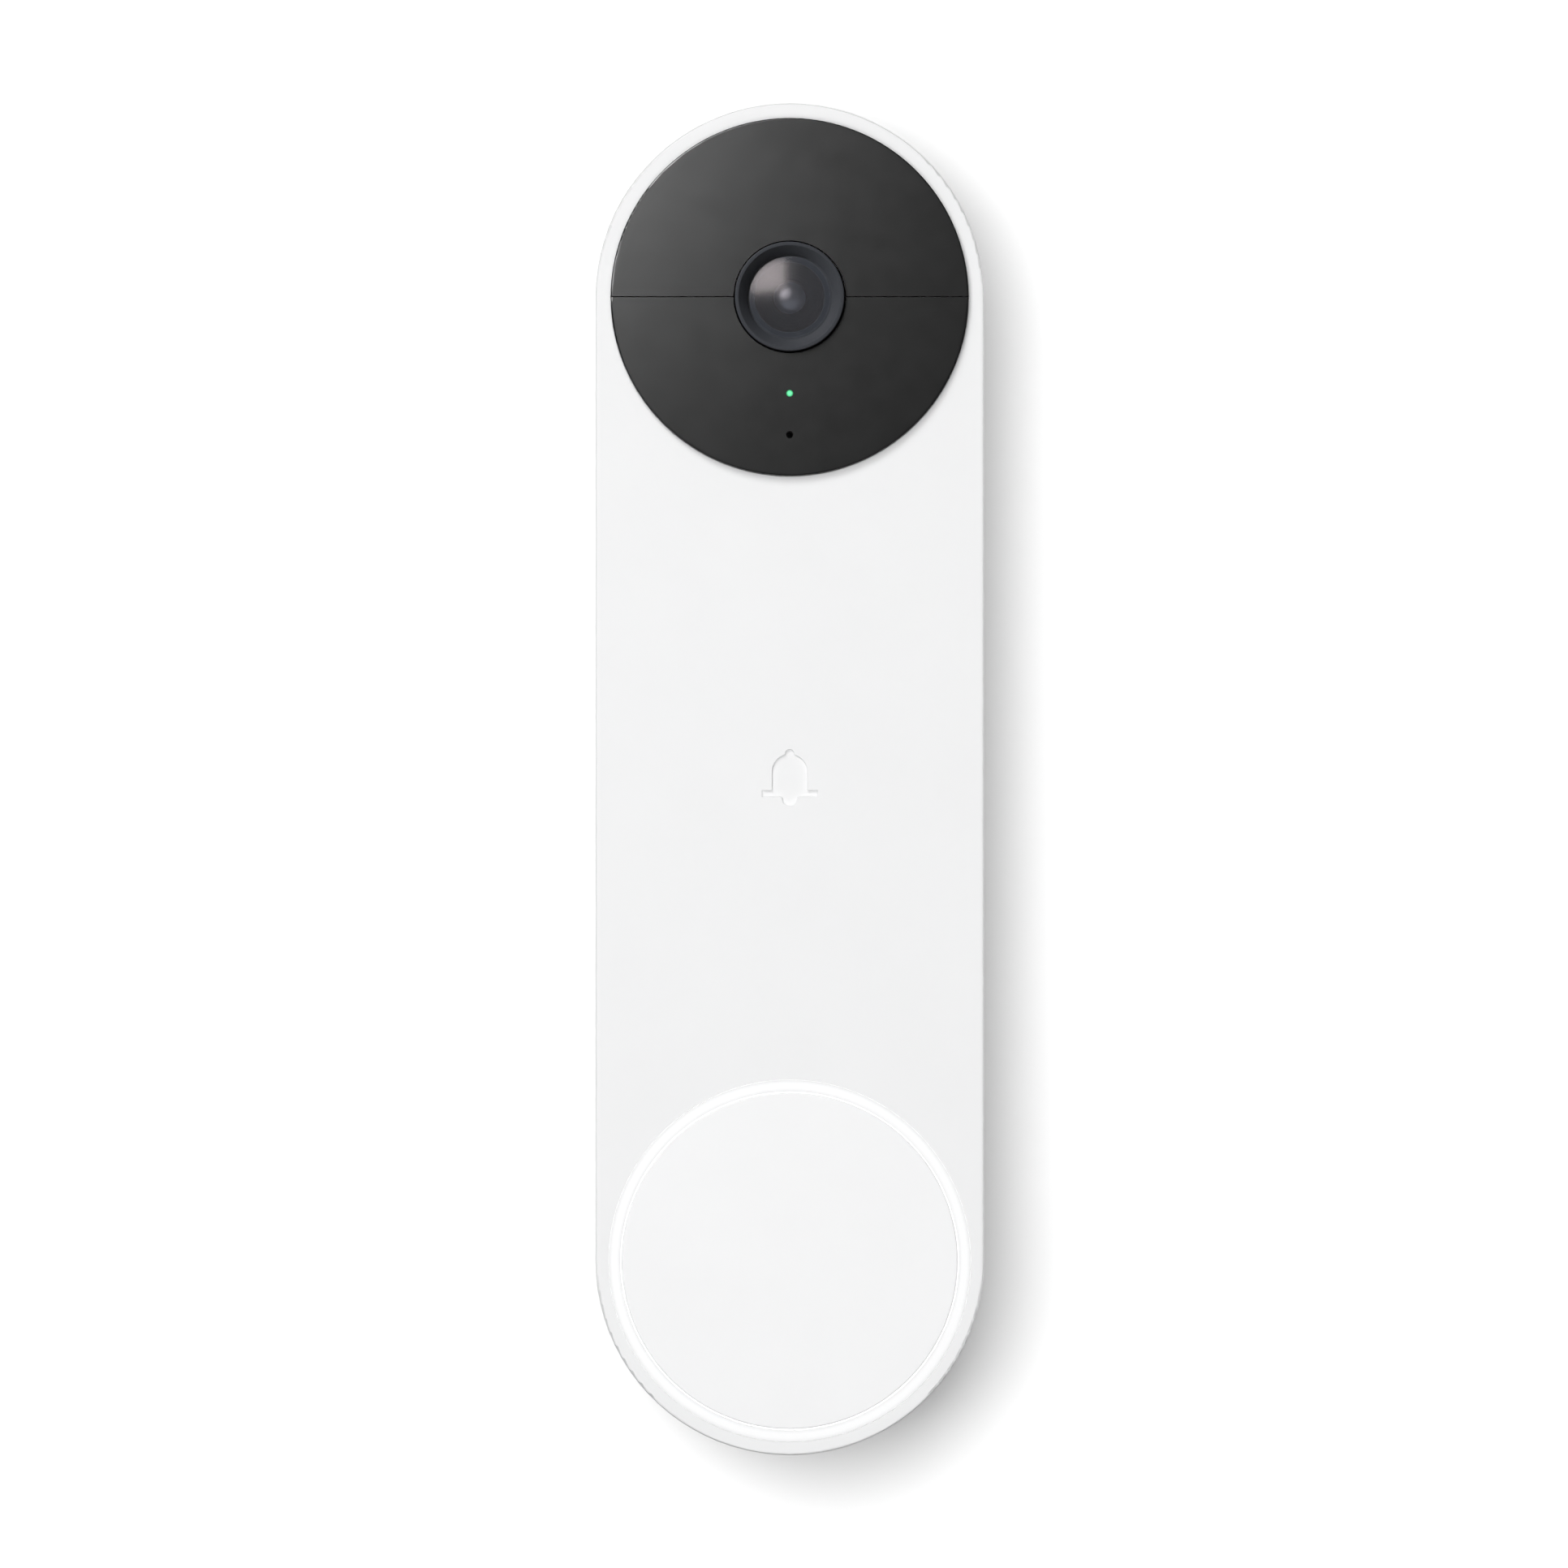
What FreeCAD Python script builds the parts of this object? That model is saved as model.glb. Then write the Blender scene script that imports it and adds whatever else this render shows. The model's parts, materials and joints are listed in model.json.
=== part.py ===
# A battery video doorbell that snaps onto a wall plate. All sizes are in millimetres.
#
# Frame: +X is to the right of a visitor, +Z is up and the front faces -Y. The origin is the middle of
# the wall plate's rear face, so the wall is the plane Y = 0. "Depth" is the distance out from the wall,
# which is -Y. Heights are along Z, from the middle of the doorbell.
import FreeCAD, Part
import math
import os
import re

import Sketcher
from FreeCAD import Placement, Rotation, Vector

SIZES = {
    # outline of the housing: two half circles joined by straight sides
    "body_radius": 23.0,
    "end_height": 57.0,
    # depths of the housing
    "unit_gap": 0.8,
    "recess_floor": 4.4,
    "rear_floor": 6.0,
    "parting": 6.5,
    "face": 22.4,
    # walls and edges of the housing
    "housing_wall": 1.9,
    "face_wall": 2.0,
    "face_round": 0.35,
    "rear_chamfer": 1.8,
    "recess_radius": 20.5,
    "lip_outer": 20.9,
    "lip_wall": 1.0,
    "lip_depth": 8.5,
    "seal_outer": 21.9,
    "seal_inner": 20.95,
    "seal_depth": 7.3,
    # long bosses that take the housing screws, short bosses that take the chassis screws
    "boss_side": 17.5,
    "boss_radius": 2.3,
    "boss_bore": 0.8,
    "boss_bore_depth": 13.0,
    "short_boss_radius": 2.1,
    "short_boss_bore": 0.6,
    "gusset_width": 3.0,
    "gusset_thick": 1.2,
    "screw_hole": 1.1,
    "screw_head": 1.9,
    "screw_head_depth": 1.0,
    "screw_drive_length": 2.0,
    "screw_drive_width": 0.5,
    "screw_drive_depth": 0.6,
    "small_head_radius": 1.5,
    "small_head_thick": 1.1,
    "thread_gap": 0.02,
    # camera window: two half discs with a straight seam
    "disc_radius": 21.15,
    "disc_recess": 0.6,
    "disc_proud": 1.0,
    "disc_gap": 0.05,
    "disc_round": 0.2,
    "seam_gap": 0.12,
    "status_drop": 11.4,
    "mic_drop": 16.3,
    "mic_radius": 0.425,
    "pipe_radius": 0.4,
    "pipe_gap": 0.03,
    "motion_side": 10.5,
    "motion_drop": 10.5,
    "motion_radius": 4.1,
    "night_rise": 12.2,
    "night_radius": 1.4,
    "night_reach": 0.9,
    "motion_reach": 1.1,
    "status_led_width": 1.6,
    "status_led_height": 0.8,
    "status_led_thick": 0.6,
    "pipe_foot_radius": 1.0,
    "mic_width": 3.5,
    "mic_height": 2.7,
    "mic_thick": 1.0,
    "gasket_radius": 1.3,
    # lens
    "bezel_radius": 6.55,
    "bezel_front": 24.1,
    "bezel_gap": 0.1,
    "bezel_flange": 7.6,
    "bezel_flange_thick": 1.0,
    "bezel_mouth": 6.05,
    "window_radius": 4.8,
    "window_rear": 22.5,
    "window_edge": 22.9,
    "window_front": 23.9,
    "barrel_radius": 4.6,
    "barrel_rear": 13.1,
    "barrel_front": 22.0,
    "front_lens_radius": 3.8,
    "front_lens_rear": 19.0,
    "rear_lens_radius": 3.0,
    "rear_lens_rear": 15.0,
    "front_lens_edge": 1.2,
    "front_lens_thick": 2.6,
    "rear_lens_edge": 1.2,
    "rear_lens_thick": 2.4,
    "lens_gap": 0.05,
    # camera housing, with the slot that the infrared cut filter slides in
    "sensor_board_rear": 9.6,
    "board_thick": 0.8,
    "camera_width": 21.0,
    "camera_height": 15.0,
    "camera_shift": 2.0,
    "camera_neck": 5.6,
    "camera_neck_front": 18.6,
    "filter_width": 7.2,
    "filter_height": 6.4,
    "filter_thick": 0.4,
    "filter_rear": 12.35,
    "filter_travel": 6.4,
    "filter_gap": 0.15,
    "sensor_width": 7.0,
    "sensor_height": 5.6,
    "sensor_thick": 0.9,
    "sensor_clearance": 2.0,
    "camera_aperture": 2.7,
    "sensor_board_width": 18.0,
    "actuator_side": 6.0,
    "actuator_width": 6.0,
    "actuator_height": 4.0,
    "actuator_rear": 11.0,
    "actuator_front": 14.0,
    # light ring and button
    "ring_outer": 21.4,
    "ring_inner": 20.05,
    "ring_leg_outer": 21.0,
    "ring_leg_rear": 18.45,
    "ring_front_thick": 1.2,
    "cap_radius": 19.9,
    "cap_thick": 1.8,
    "cap_round": 0.2,
    "skirt_outer": 19.7,
    "skirt_inner": 18.3,
    "skirt_rear": 18.35,
    "tab_outer": 20.7,
    "tab_width": 5.0,
    "tab_rear": 17.5,
    "button_board_radius": 20.4,
    "plunger_radius": 1.75,
    "plunger_rear": 18.7,
    "plunger_gap": 0.05,
    "light_room": 4.0,
    "light_room_circle": 19.0,
    "ring_led_circle": 19.4,
    "ring_led_deep": 1.0,
    "ring_led_width": 1.6,
    "ring_led_thick": 0.6,
    "button_seal_radius": 17.6,
    "button_seal_hole": 4.6,
    "button_seal_thick": 0.4,
    "switch_size": 6.2,
    "switch_thick": 2.4,
    # chassis and main board
    "chassis_radius": 20.6,
    "chassis_rear": 15.0,
    "chassis_front": 16.2,
    "main_board_rear": 16.6,
    "main_board_thick": 1.0,
    "main_board_width": 30.0,
    "main_board_height": 72.0,
    "main_board_middle": 2.0,
    "front_board_rear": 18.2,
    "chassis_hole": 0.9,
    "board_post_side": 12.0,
    "board_post_radius": 1.4,
    "front_post_radius": 1.2,
    "night_post_side": 8.0,
    "night_post_rise": 12.0,
    "sensor_post_drop": 16.6,
    "night_board_width": 22.0,
    "night_board_height": 6.5,
    "sensing_board_width": 22.8,
    "sensing_board_height": 12.2,
    "sensing_board_side": 3.4,
    "sensing_board_drop": 12.3,
    "processor_shield": 18.0,
    "processor_shield_thick": 1.8,
    "processor_height": 18.0,
    "radio_shield_width": 14.0,
    "radio_shield_height": 12.0,
    "radio_shield_thick": 1.6,
    "radio_side": 4.0,
    "radio_drop": 8.0,
    "antenna_width": 24.0,
    "antenna_height": 6.0,
    "antenna_thick": 0.3,
    "antenna_drop": 25.0,
    # flat ribbon cables, and the slots that they pass through the chassis by
    "ribbon_thick": 0.2,
    "ribbon_slot": 1.6,
    "camera_ribbon_width": 8.0,
    "camera_ribbon_rear": 9.9,
    "camera_ribbon_low": 46.9,
    "camera_ribbon_end": 34.0,
    "battery_ribbon_width": 6.0,
    "battery_ribbon_rear": 10.0,
    "battery_ribbon_side": 10.0,
    "battery_ribbon_drop": 34.4,
    "board_ribbon_drop": 31.0,
    "button_ribbon_width": 4.0,
    "button_ribbon_side": 5.0,
    "button_ribbon_drop": 36.2,
    "button_ribbon_end": 39.2,
    # battery
    "battery_width": 29.4,
    "battery_height": 70.0,
    "battery_middle": 2.0,
    "battery_rear": 6.2,
    "battery_round": 3.0,
    # speaker, firing down through slots in the bottom end
    "speaker_width": 25.0,
    "speaker_height": 9.0,
    "speaker_thick": 7.0,
    "speaker_rear": 7.5,
    "speaker_bottom": 70.0,
    "speaker_wall": 1.5,
    "duct_width": 17.0,
    "duct_rear": 8.7,
    "duct_thick": 5.2,
    "duct_height": 6.0,
    "duct_wall": 0.8,
    "outlet_width": 10.0,
    "outlet_slot": 1.3,
    "outlet_length": 4.0,
    "magnet_width": 12.0,
    "magnet_height": 3.5,
    "magnet_inset": 1.5,
    "cone_thick": 0.6,
    "coil_width": 8.0,
    "coil_height": 2.4,
    "coil_inset": 2.0,
    "mesh_width": 15.0,
    "mesh_thick": 0.3,
    # rear panel: wire terminals, charging port, reset button
    "terminal_drop": 42.0,
    "terminal_side": 6.0,
    "terminal_pocket_width": 22.0,
    "terminal_pocket_height": 12.0,
    "terminal_pocket_floor": 11.2,
    "terminal_wall": 1.2,
    "terminal_fit": 0.2,
    "terminal_block_front": 7.4,
    "nut_radius": 2.5,
    "nut_pin": 0.6,
    "nut_pin_hole": 0.7,
    "terminal_rib": 1.0,
    "terminal_slot": 0.8,
    "terminal_screw_radius": 1.5,
    "terminal_screw_gap": 0.05,
    "terminal_head_radius": 2.9,
    "terminal_head_rear": 4.7,
    "clamp_rear": 6.3,
    "clamp_size": 7.4,
    "clamp_thick": 1.0,
    "port_board_rear": 12.6,
    "port_side": 5.5,
    "port_drop": 54.0,
    "port_half_length": 2.89,
    "port_radius": 1.58,
    "port_rear": 4.9,
    "port_wall": 0.3,
    "port_tongue_width": 6.6,
    "port_tongue_thick": 0.7,
    "rear_board_width": 24.0,
    "rear_board_height": 20.4,
    "rear_board_drop": 48.0,
    "reset_switch_size": 3.2,
    "reset_switch_thick": 1.1,
    "reset_flange_radius": 2.1,
    "reset_stem_radius": 0.9,
    "reset_travel": 0.35,
    "reset_side": 8.0,
    "reset_radius": 1.5,
    "reset_rear": 4.6,
    "reset_gap": 0.1,
    # wall plate, the bar that the unit hooks onto and tilts about, and the latch at the top
    "plate_radius": 19.4,
    "plate_thick": 2.4,
    "plate_chamfer": 0.4,
    "wire_window_width": 22.0,
    "wire_window_height": 15.0,
    "wall_screw_high": 46.0,
    "wall_screw_low": 62.0,
    "wall_screw_radius": 2.1,
    "wall_screw_sink": 3.9,
    "wall_screw_sink_depth": 1.0,
    "pivot_depth": 2.6,
    "pivot_drop": 73.5,
    "bar_radius": 1.0,
    "bar_length": 18.8,
    "bar_gap": 0.05,
    "hook_side": 4.5,
    "hook_width": 5.0,
    "hook_wall": 1.05,
    "hook_below": 1.5,
    "hook_rear": 0.7,
    "hook_window_width": 6.0,
    "hook_window_top": 69.8,
    "hook_window_height": 10.0,
    "lug_radius": 1.4,
    "lug_width": 1.6,
    "lug_side": 8.6,
    "latch_width": 6.0,
    "latch_strip": 0.4,
    "latch_root": 58.0,
    "latch_upright": 69.0,
    "latch_tip": 70.9,
    "latch_catch": 6.1,
    "latch_front": 6.9,
    "latch_window_low": 66.5,
    "latch_window_high": 70.0,
    "latch_pocket_high": 72.0,
    "latch_pocket_floor": 7.6,
    "rivet_radius": 0.6,
    "rivet_head": 1.1,
    "rivet_head_thick": 0.4,
    "rivet_rear": 0.3,
    "pin_hole_radius": 0.75,
    "pin_hole_depth": 3.3,
    # debossed bell sign on the face
    "sign_rise": 0.9,
    "sign_dome": 2.1,
    "sign_skirt": 2.6,
    "sign_brim_width": 6.6,
    "sign_brim_height": 0.8,
    "sign_clapper": 0.9,
    "sign_clapper_drop": 0.6,
    "sign_knob": 0.55,
    "sign_deep": 0.35,
}

HOUSING_SCREW_HEIGHTS = (42.0, 3.0, -36.0)
CHASSIS_SCREW_HEIGHTS = (22.0, -17.0)
BOARD_POST_HEIGHTS = (-30.0, 34.0)
SENSOR_POST_SIDES = (-13.4, 6.4)
SIDES = (-1, 1)
NIGHT_LIGHT_SIDES = (-9.0, -3.0, 3.0, 9.0)
RING_LIGHT_COUNT = 12
BUTTON_TAB_COUNT = 4
OUTLET_DEPTHS = (10.2, 12.4)
RIVET_HEIGHTS = (60.0, 64.0)
FRONT_AXIS = Rotation(Vector(1, 0, 0), 90)

doc = FreeCAD.newDocument("video_doorbell")
sheet = doc.addObject("Spreadsheet::Sheet", "Sizes")
sub_parts = []


def fill_sheet():
    for row, (alias, value) in enumerate(SIZES.items(), start=1):
        sheet.set(f"A{row}", alias)
        sheet.set(f"B{row}", str(value))
        sheet.setAlias(f"B{row}", alias)
    doc.recompute()


def formula(text):
    """The text of a size, with each name in it pointed at its cell of the sheet."""
    return re.sub(r"[a-z][a-z_]+",
                  lambda name: "Sizes." + name.group() if name.group() in SIZES else name.group(),
                  str(text))


def bind(thing, **formulas):
    for name, text in formulas.items():
        thing.setExpression(name.replace("__", "."), formula(text))


# ---- sketches ----

def constrain(sketch, kind, *references, size=None):
    """Adds a constraint. With a size, it follows the sheet."""
    if size is None:
        return sketch.addConstraint(Sketcher.Constraint(kind, *references))
    index = sketch.addConstraint(Sketcher.Constraint(kind, *references, 1.0))
    sketch.renameConstraint(index, f"size_{index}")
    sketch.setExpression(f"Constraints.size_{index}", formula(size))


def circle(radius):
    def draw(sketch):
        curve = sketch.addGeometry(Part.Circle(Vector(), Vector(0, 0, 1), 1.0))
        constrain(sketch, "Coincident", curve, 3, -1, 1)
        constrain(sketch, "Radius", curve, size=radius)
    return draw


def stadium(radius, half_span="end_height"):
    """Two half circles, half_span above and below the middle, joined by straight sides."""
    def draw(sketch):
        top = sketch.addGeometry(Part.ArcOfCircle(Part.Circle(Vector(0, 3, 0), Vector(0, 0, 1), 1.0), 0,
                                                  math.pi))
        bottom = sketch.addGeometry(
            Part.ArcOfCircle(Part.Circle(Vector(0, -3, 0), Vector(0, 0, 1), 1.0), math.pi, 2 * math.pi))
        left = sketch.addGeometry(Part.LineSegment(Vector(-1, 3, 0), Vector(-1, -3, 0)))
        right = sketch.addGeometry(Part.LineSegment(Vector(1, -3, 0), Vector(1, 3, 0)))
        constrain(sketch, "Tangent", top, 2, left, 1)
        constrain(sketch, "Tangent", left, 2, bottom, 1)
        constrain(sketch, "Tangent", bottom, 2, right, 1)
        constrain(sketch, "Tangent", right, 2, top, 1)
        constrain(sketch, "PointOnObject", top, 3, -2)
        constrain(sketch, "Symmetric", top, 3, bottom, 3, -1, 1)
        constrain(sketch, "Vertical", left)
        constrain(sketch, "Radius", top, size=radius)
        constrain(sketch, "DistanceY", -1, 1, top, 3, size=half_span)
    return draw


def rectangle(width, height):
    def draw(sketch):
        corners = (Vector(-1, -1, 0), Vector(1, -1, 0), Vector(1, 1, 0), Vector(-1, 1, 0))
        sides = [sketch.addGeometry(Part.LineSegment(corners[k], corners[(k + 1) % 4])) for k in range(4)]
        for k in range(4):
            constrain(sketch, "Coincident", sides[k], 2, sides[(k + 1) % 4], 1)
            constrain(sketch, "Vertical" if k % 2 else "Horizontal", sides[k])
        constrain(sketch, "Symmetric", sides[0], 1, sides[1], 2, -1, 1)
        constrain(sketch, "DistanceX", sides[0], 1, sides[0], 2, size=width)
        constrain(sketch, "DistanceY", sides[1], 1, sides[1], 2, size=height)
    return draw


def pair(outer, inner):
    """An outline with an inner outline as its hole."""
    def draw(sketch):
        outer(sketch)
        inner(sketch)
    return draw


def new_sketch(body, name, draw, plane, along, up, out, turn=0.0):
    """A sketch on one of the body's own origin planes, moved by along, up and out in that plane's axes."""
    sketch = body.newObject("Sketcher::SketchObject", name)
    base = next(item for item in body.Origin.OriginFeatures if item.Role == plane)
    sketch.AttachmentSupport = [(base, "")]
    sketch.MapMode = "FlatFace"
    sketch.AttachmentOffset = Placement(Vector(), Rotation(Vector(0, 0, 1), turn))
    bind(sketch, AttachmentOffset__Base__x=along, AttachmentOffset__Base__y=up,
         AttachmentOffset__Base__z=out)
    draw(sketch)
    return sketch


# ---- features of a body ----

def new_body(label):
    body = doc.addObject("PartDesign::Body", label)
    body.Label = label
    sub_parts.append(body)
    return body


def add(body, name, draw, rear, front, x="0", z="0", turn=0.0):
    """Adds material from one depth to another. The front plane of the body's origin faces the visitor."""
    sketch = new_sketch(body, name + "_sketch", draw, "XZ_Plane", x, z, rear, turn)
    feature = body.newObject("PartDesign::Pad", name)
    feature.Profile = sketch
    bind(feature, Length=f"({front}) - ({rear})")
    return feature


def cut(body, name, draw, rear, front, x="0", z="0", turn=0.0):
    """Removes material from one depth to another."""
    sketch = new_sketch(body, name + "_sketch", draw, "XZ_Plane", x, z, front, turn)
    feature = body.newObject("PartDesign::Pocket", name)
    feature.Profile = sketch
    bind(feature, Length=f"({front}) - ({rear})")
    return feature


def across(body, name, kind, draw, length, x="0", depth="0", z="0"):
    """A Pad or Pocket along X, as long each side of x."""
    sketch = new_sketch(body, name + "_sketch", draw, "YZ_Plane", f"-({depth})", z, x)
    feature = body.newObject("PartDesign::" + kind, name)
    feature.Profile = sketch
    feature.SideType = "Symmetric"
    bind(feature, Length=length)
    return feature


def edges_at_depth(feature, depth):
    """Names of the feature's edges that lie flat at a depth."""
    doc.recompute()
    names = []
    for number, edge in enumerate(feature.Shape.Edges, start=1):
        box = edge.BoundBox
        if abs(box.YMin + depth) < 1e-4 and abs(box.YMax + depth) < 1e-4:
            names.append(f"Edge{number}")
    return names


def dress(body, kind, name, feature, depth, size):
    """A Fillet or Chamfer on every edge that the feature has at a depth."""
    names = edges_at_depth(feature, depth)
    trim = body.newObject("PartDesign::" + kind, name)
    trim.Base = (feature, names)
    bind(trim, **{"Radius" if kind == "Fillet" else "Size": size})
    return trim


# ---- primitives ----

def block(name, width, height, rear, front, x="0", z="0"):
    """A box centred on x and z, between two depths."""
    box = doc.addObject("Part::Box", name)
    bind(box, Length=width, Height=height, Width=f"({front}) - ({rear})",
         Placement__Base__x=f"({x}) - ({width}) / 2", Placement__Base__y=f"-({front})",
         Placement__Base__z=f"({z}) - ({height}) / 2")
    return box


def rod(name, radius, rear, front, x="0", z="0"):
    """A cylinder along the depth."""
    cylinder = doc.addObject("Part::Cylinder", name)
    cylinder.Placement = Placement(Vector(), FRONT_AXIS)
    bind(cylinder, Radius=radius, Height=f"({front}) - ({rear})",
         Placement__Base__x=x, Placement__Base__y=f"-({rear})", Placement__Base__z=z)
    return cylinder


def taper(name, rear_radius, front_radius, rear, front, z):
    cone = doc.addObject("Part::Cone", name)
    cone.Placement = Placement(Vector(), FRONT_AXIS)
    bind(cone, Radius1=rear_radius, Radius2=front_radius, Height=f"({front}) - ({rear})",
         Placement__Base__y=f"-({rear})", Placement__Base__z=z)
    return cone


def ball(name, radius, depth, z):
    sphere = doc.addObject("Part::Sphere", name)
    bind(sphere, Radius=radius, Placement__Base__y=f"-({depth})", Placement__Base__z=z)
    return sphere


def combine(kind, name, first, second):
    """A Cut or Common of two shapes."""
    result = doc.addObject("Part::" + kind, name)
    result.Base = first
    result.Tool = second
    return result


def group(name, shapes):
    result = doc.addObject("Part::MultiFuse", name)
    result.Shapes = shapes
    return result


def keep(thing, label=None):
    """Marks an object as a finished sub-part."""
    thing.Label = label or thing.Name
    sub_parts.append(thing)
    return thing


# ---- housing ----

def front_housing():
    body = new_body("front_housing")
    shell = add(body, "shell", stadium("body_radius"), "parting", "face")
    dress(body, "Fillet", "face_edge", shell, SIZES["face"], "face_round")
    cut(body, "inside", stadium("body_radius - housing_wall"), "parting - 1", "face - face_wall")
    cut(body, "seal_rebate", stadium("seal_outer + 0.05"), "parting - 1", "seal_depth")
    for side in SIDES:
        for height in HOUSING_SCREW_HEIGHTS:
            place = {"x": f"{side} * boss_side", "z": height}
            add(body, "boss", circle("boss_radius"), "rear_floor", "face - face_wall + 0.5", **place)
            add(body, "gusset", rectangle("gusset_width", "gusset_thick"), "lip_depth + 1",
                "face - face_wall + 0.5",
                x=f"{side} * (body_radius - housing_wall - gusset_width / 2 + 0.3)", z=height)
            cut(body, "boss_bore", circle("boss_bore"), "rear_floor - 1", "boss_bore_depth", **place)
        for height in CHASSIS_SCREW_HEIGHTS:
            place = {"x": f"{side} * boss_side", "z": height}
            add(body, "short_boss", circle("short_boss_radius"), "chassis_front", "face - face_wall + 0.5",
                **place)
            cut(body, "short_bore", circle("short_boss_bore"), "chassis_front - 1", "face - face_wall",
                **place)
    camera_openings(body)
    cut(body, "button_opening", circle("ring_outer + 0.05"), "face - ring_front_thick", "face + 1",
        z="-end_height")
    cut(body, "button_bore", circle("body_radius - housing_wall"), "parting", "face", z="-end_height")
    for depth in OUTLET_DEPTHS:
        sketch = new_sketch(body, "outlet_sketch", rectangle("outlet_width", "outlet_slot"), "XY_Plane",
                            "0", -depth, "-(end_height + body_radius - outlet_length)")
        outlet = body.newObject("PartDesign::Pocket", "outlet")
        outlet.Profile = sketch
        bind(outlet, Length="outlet_length + 2")
    bell_sign(body)


def camera_openings(body):
    """The shallow recess for the two half discs, and the holes in its floor."""
    cut(body, "disc_seat", circle("disc_radius + disc_gap"), "face - disc_recess", "face + 1",
        z="end_height")
    through = ("face - face_wall - 1", "face")
    cut(body, "bezel_hole", circle("bezel_radius + bezel_gap"), *through, z="end_height")
    cut(body, "pipe_hole", circle("pipe_radius + 0.1"), *through, z="end_height - status_drop")
    cut(body, "mic_hole", circle("mic_radius + 0.1"), *through, z="end_height - mic_drop")
    cut(body, "motion_hole", circle("motion_radius + 0.3"), *through, x="-motion_side",
        z="end_height - motion_drop")
    for side in NIGHT_LIGHT_SIDES:
        cut(body, "night_hole", circle("night_radius + 0.4"), *through, x=side, z="end_height + night_rise")


def bell_sign(body):
    """A plain bell pictogram, sunk into the middle of the face."""
    depths = ("face - sign_deep", "face + 1")
    brim_height = "(sign_rise - sign_skirt)"
    cut(body, "sign_dome", circle("sign_dome"), *depths, z="sign_rise")
    cut(body, "sign_skirt", rectangle("sign_dome * 2", "sign_skirt"), *depths,
        z="sign_rise - sign_skirt / 2")
    cut(body, "sign_brim", rectangle("sign_brim_width", "sign_brim_height"), *depths, z=brim_height)
    cut(body, "sign_clapper", circle("sign_clapper"), *depths, z=f"{brim_height} - sign_clapper_drop")
    cut(body, "sign_knob", circle("sign_knob"), *depths, z="sign_rise + sign_dome")


def rear_housing():
    body = new_body("rear_housing")
    rim = add(body, "rim", stadium("body_radius"), "unit_gap", "parting")
    dress(body, "Chamfer", "rear_edge", rim, SIZES["unit_gap"], "rear_chamfer")
    cut(body, "plate_recess", stadium("recess_radius"), "unit_gap - 1", "recess_floor")
    cut(body, "inside", stadium("lip_outer"), "rear_floor", "parting + 1")
    add(body, "lip", pair(stadium("lip_outer"), stadium("lip_outer - lip_wall")), "rear_floor - 0.2",
        "lip_depth")
    for side in SIDES:
        for height in HOUSING_SCREW_HEIGHTS:
            place = {"x": f"{side} * boss_side", "z": height}
            cut(body, "screw_hole", circle("screw_hole"), "recess_floor - 1", "rear_floor + 1", **place)
            cut(body, "screw_seat", circle("screw_head + 0.1"), "recess_floor - 1",
                "recess_floor + screw_head_depth", **place)
    terminal_pocket(body)
    port_openings(body)
    latch_catch(body)
    bar_hooks(body)


def terminal_pocket(body):
    add(body, "terminal_boss",
        rectangle("terminal_pocket_width + 2 * terminal_wall", "terminal_pocket_height + 2 * terminal_wall"),
        "rear_floor - 0.5", "terminal_pocket_floor + terminal_wall", z="-terminal_drop")
    cut(body, "terminal_pocket", rectangle("terminal_pocket_width", "terminal_pocket_height"),
        "recess_floor - 1", "terminal_pocket_floor", z="-terminal_drop")
    for side in SIDES:
        cut(body, "terminal_pin_hole", circle("nut_pin_hole"), "terminal_pocket_floor - 1",
            "terminal_pocket_floor + 2",
            x=f"{side} * terminal_side", z="-terminal_drop")


def port_openings(body):
    cut(body, "port_hole", stadium("port_radius + 0.1", "port_half_length"), "recess_floor - 1",
        "rear_floor + 1",
        x="-port_side", z="-port_drop", turn=90.0)
    cut(body, "reset_hole", circle("reset_radius + reset_gap"), "recess_floor - 1", "rear_floor + 1",
        x="reset_side", z="-port_drop")


def latch_catch(body):
    """A window for the latch spring with a pocket over it, so that the window's top edge is a catch."""
    low, high = "latch_window_low", "latch_pocket_high"
    middle = f"({low} + {high}) / 2"
    add(body, "latch_boss", rectangle("latch_width + 4.4", f"{high} - {low} + 2"), "rear_floor - 0.5",
        "latch_pocket_floor + 1.2", z=middle)
    cut(body, "latch_pocket", rectangle("latch_width + 2", f"{high} - {low}"), "rear_floor",
        "latch_pocket_floor",
        z=middle)
    cut(body, "latch_window", rectangle("latch_width + 2", f"latch_window_high - {low}"), "recess_floor - 1",
        "rear_floor + 0.1", z=f"(latch_window_high + {low}) / 2")
    sketch = new_sketch(body, "pin_hole_sketch", circle("pin_hole_radius"), "XY_Plane", "0",
                        "-pin_hole_depth",
                        "end_height + body_radius + 1")
    pin_hole = body.newObject("PartDesign::Pocket", "pin_hole")
    pin_hole.Profile = sketch
    bind(pin_hole, Length="body_radius - recess_radius + 2")


def bar_hooks(body):
    """Two hooks, open downwards, that hang on the wall plate's bar."""
    top = "bar_radius + hook_wall"
    for side in SIDES:
        add(body, "hook", rectangle("hook_width", f"{top} + hook_below"), "hook_rear", "recess_floor + 0.2",
            x=f"{side} * hook_side", z=f"-pivot_drop + ({top} - hook_below) / 2")
    across(body, "bar_bore", "Pocket", circle("bar_radius + bar_gap"), "2 * hook_side + hook_width + 1",
           depth="pivot_depth", z="-pivot_drop")
    across(body, "bar_mouth", "Pocket", rectangle("2 * (bar_radius + bar_gap)", "hook_below + 1"),
           "2 * hook_side + hook_width + 1", depth="pivot_depth", z="-pivot_drop - (hook_below + 1) / 2")


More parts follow.
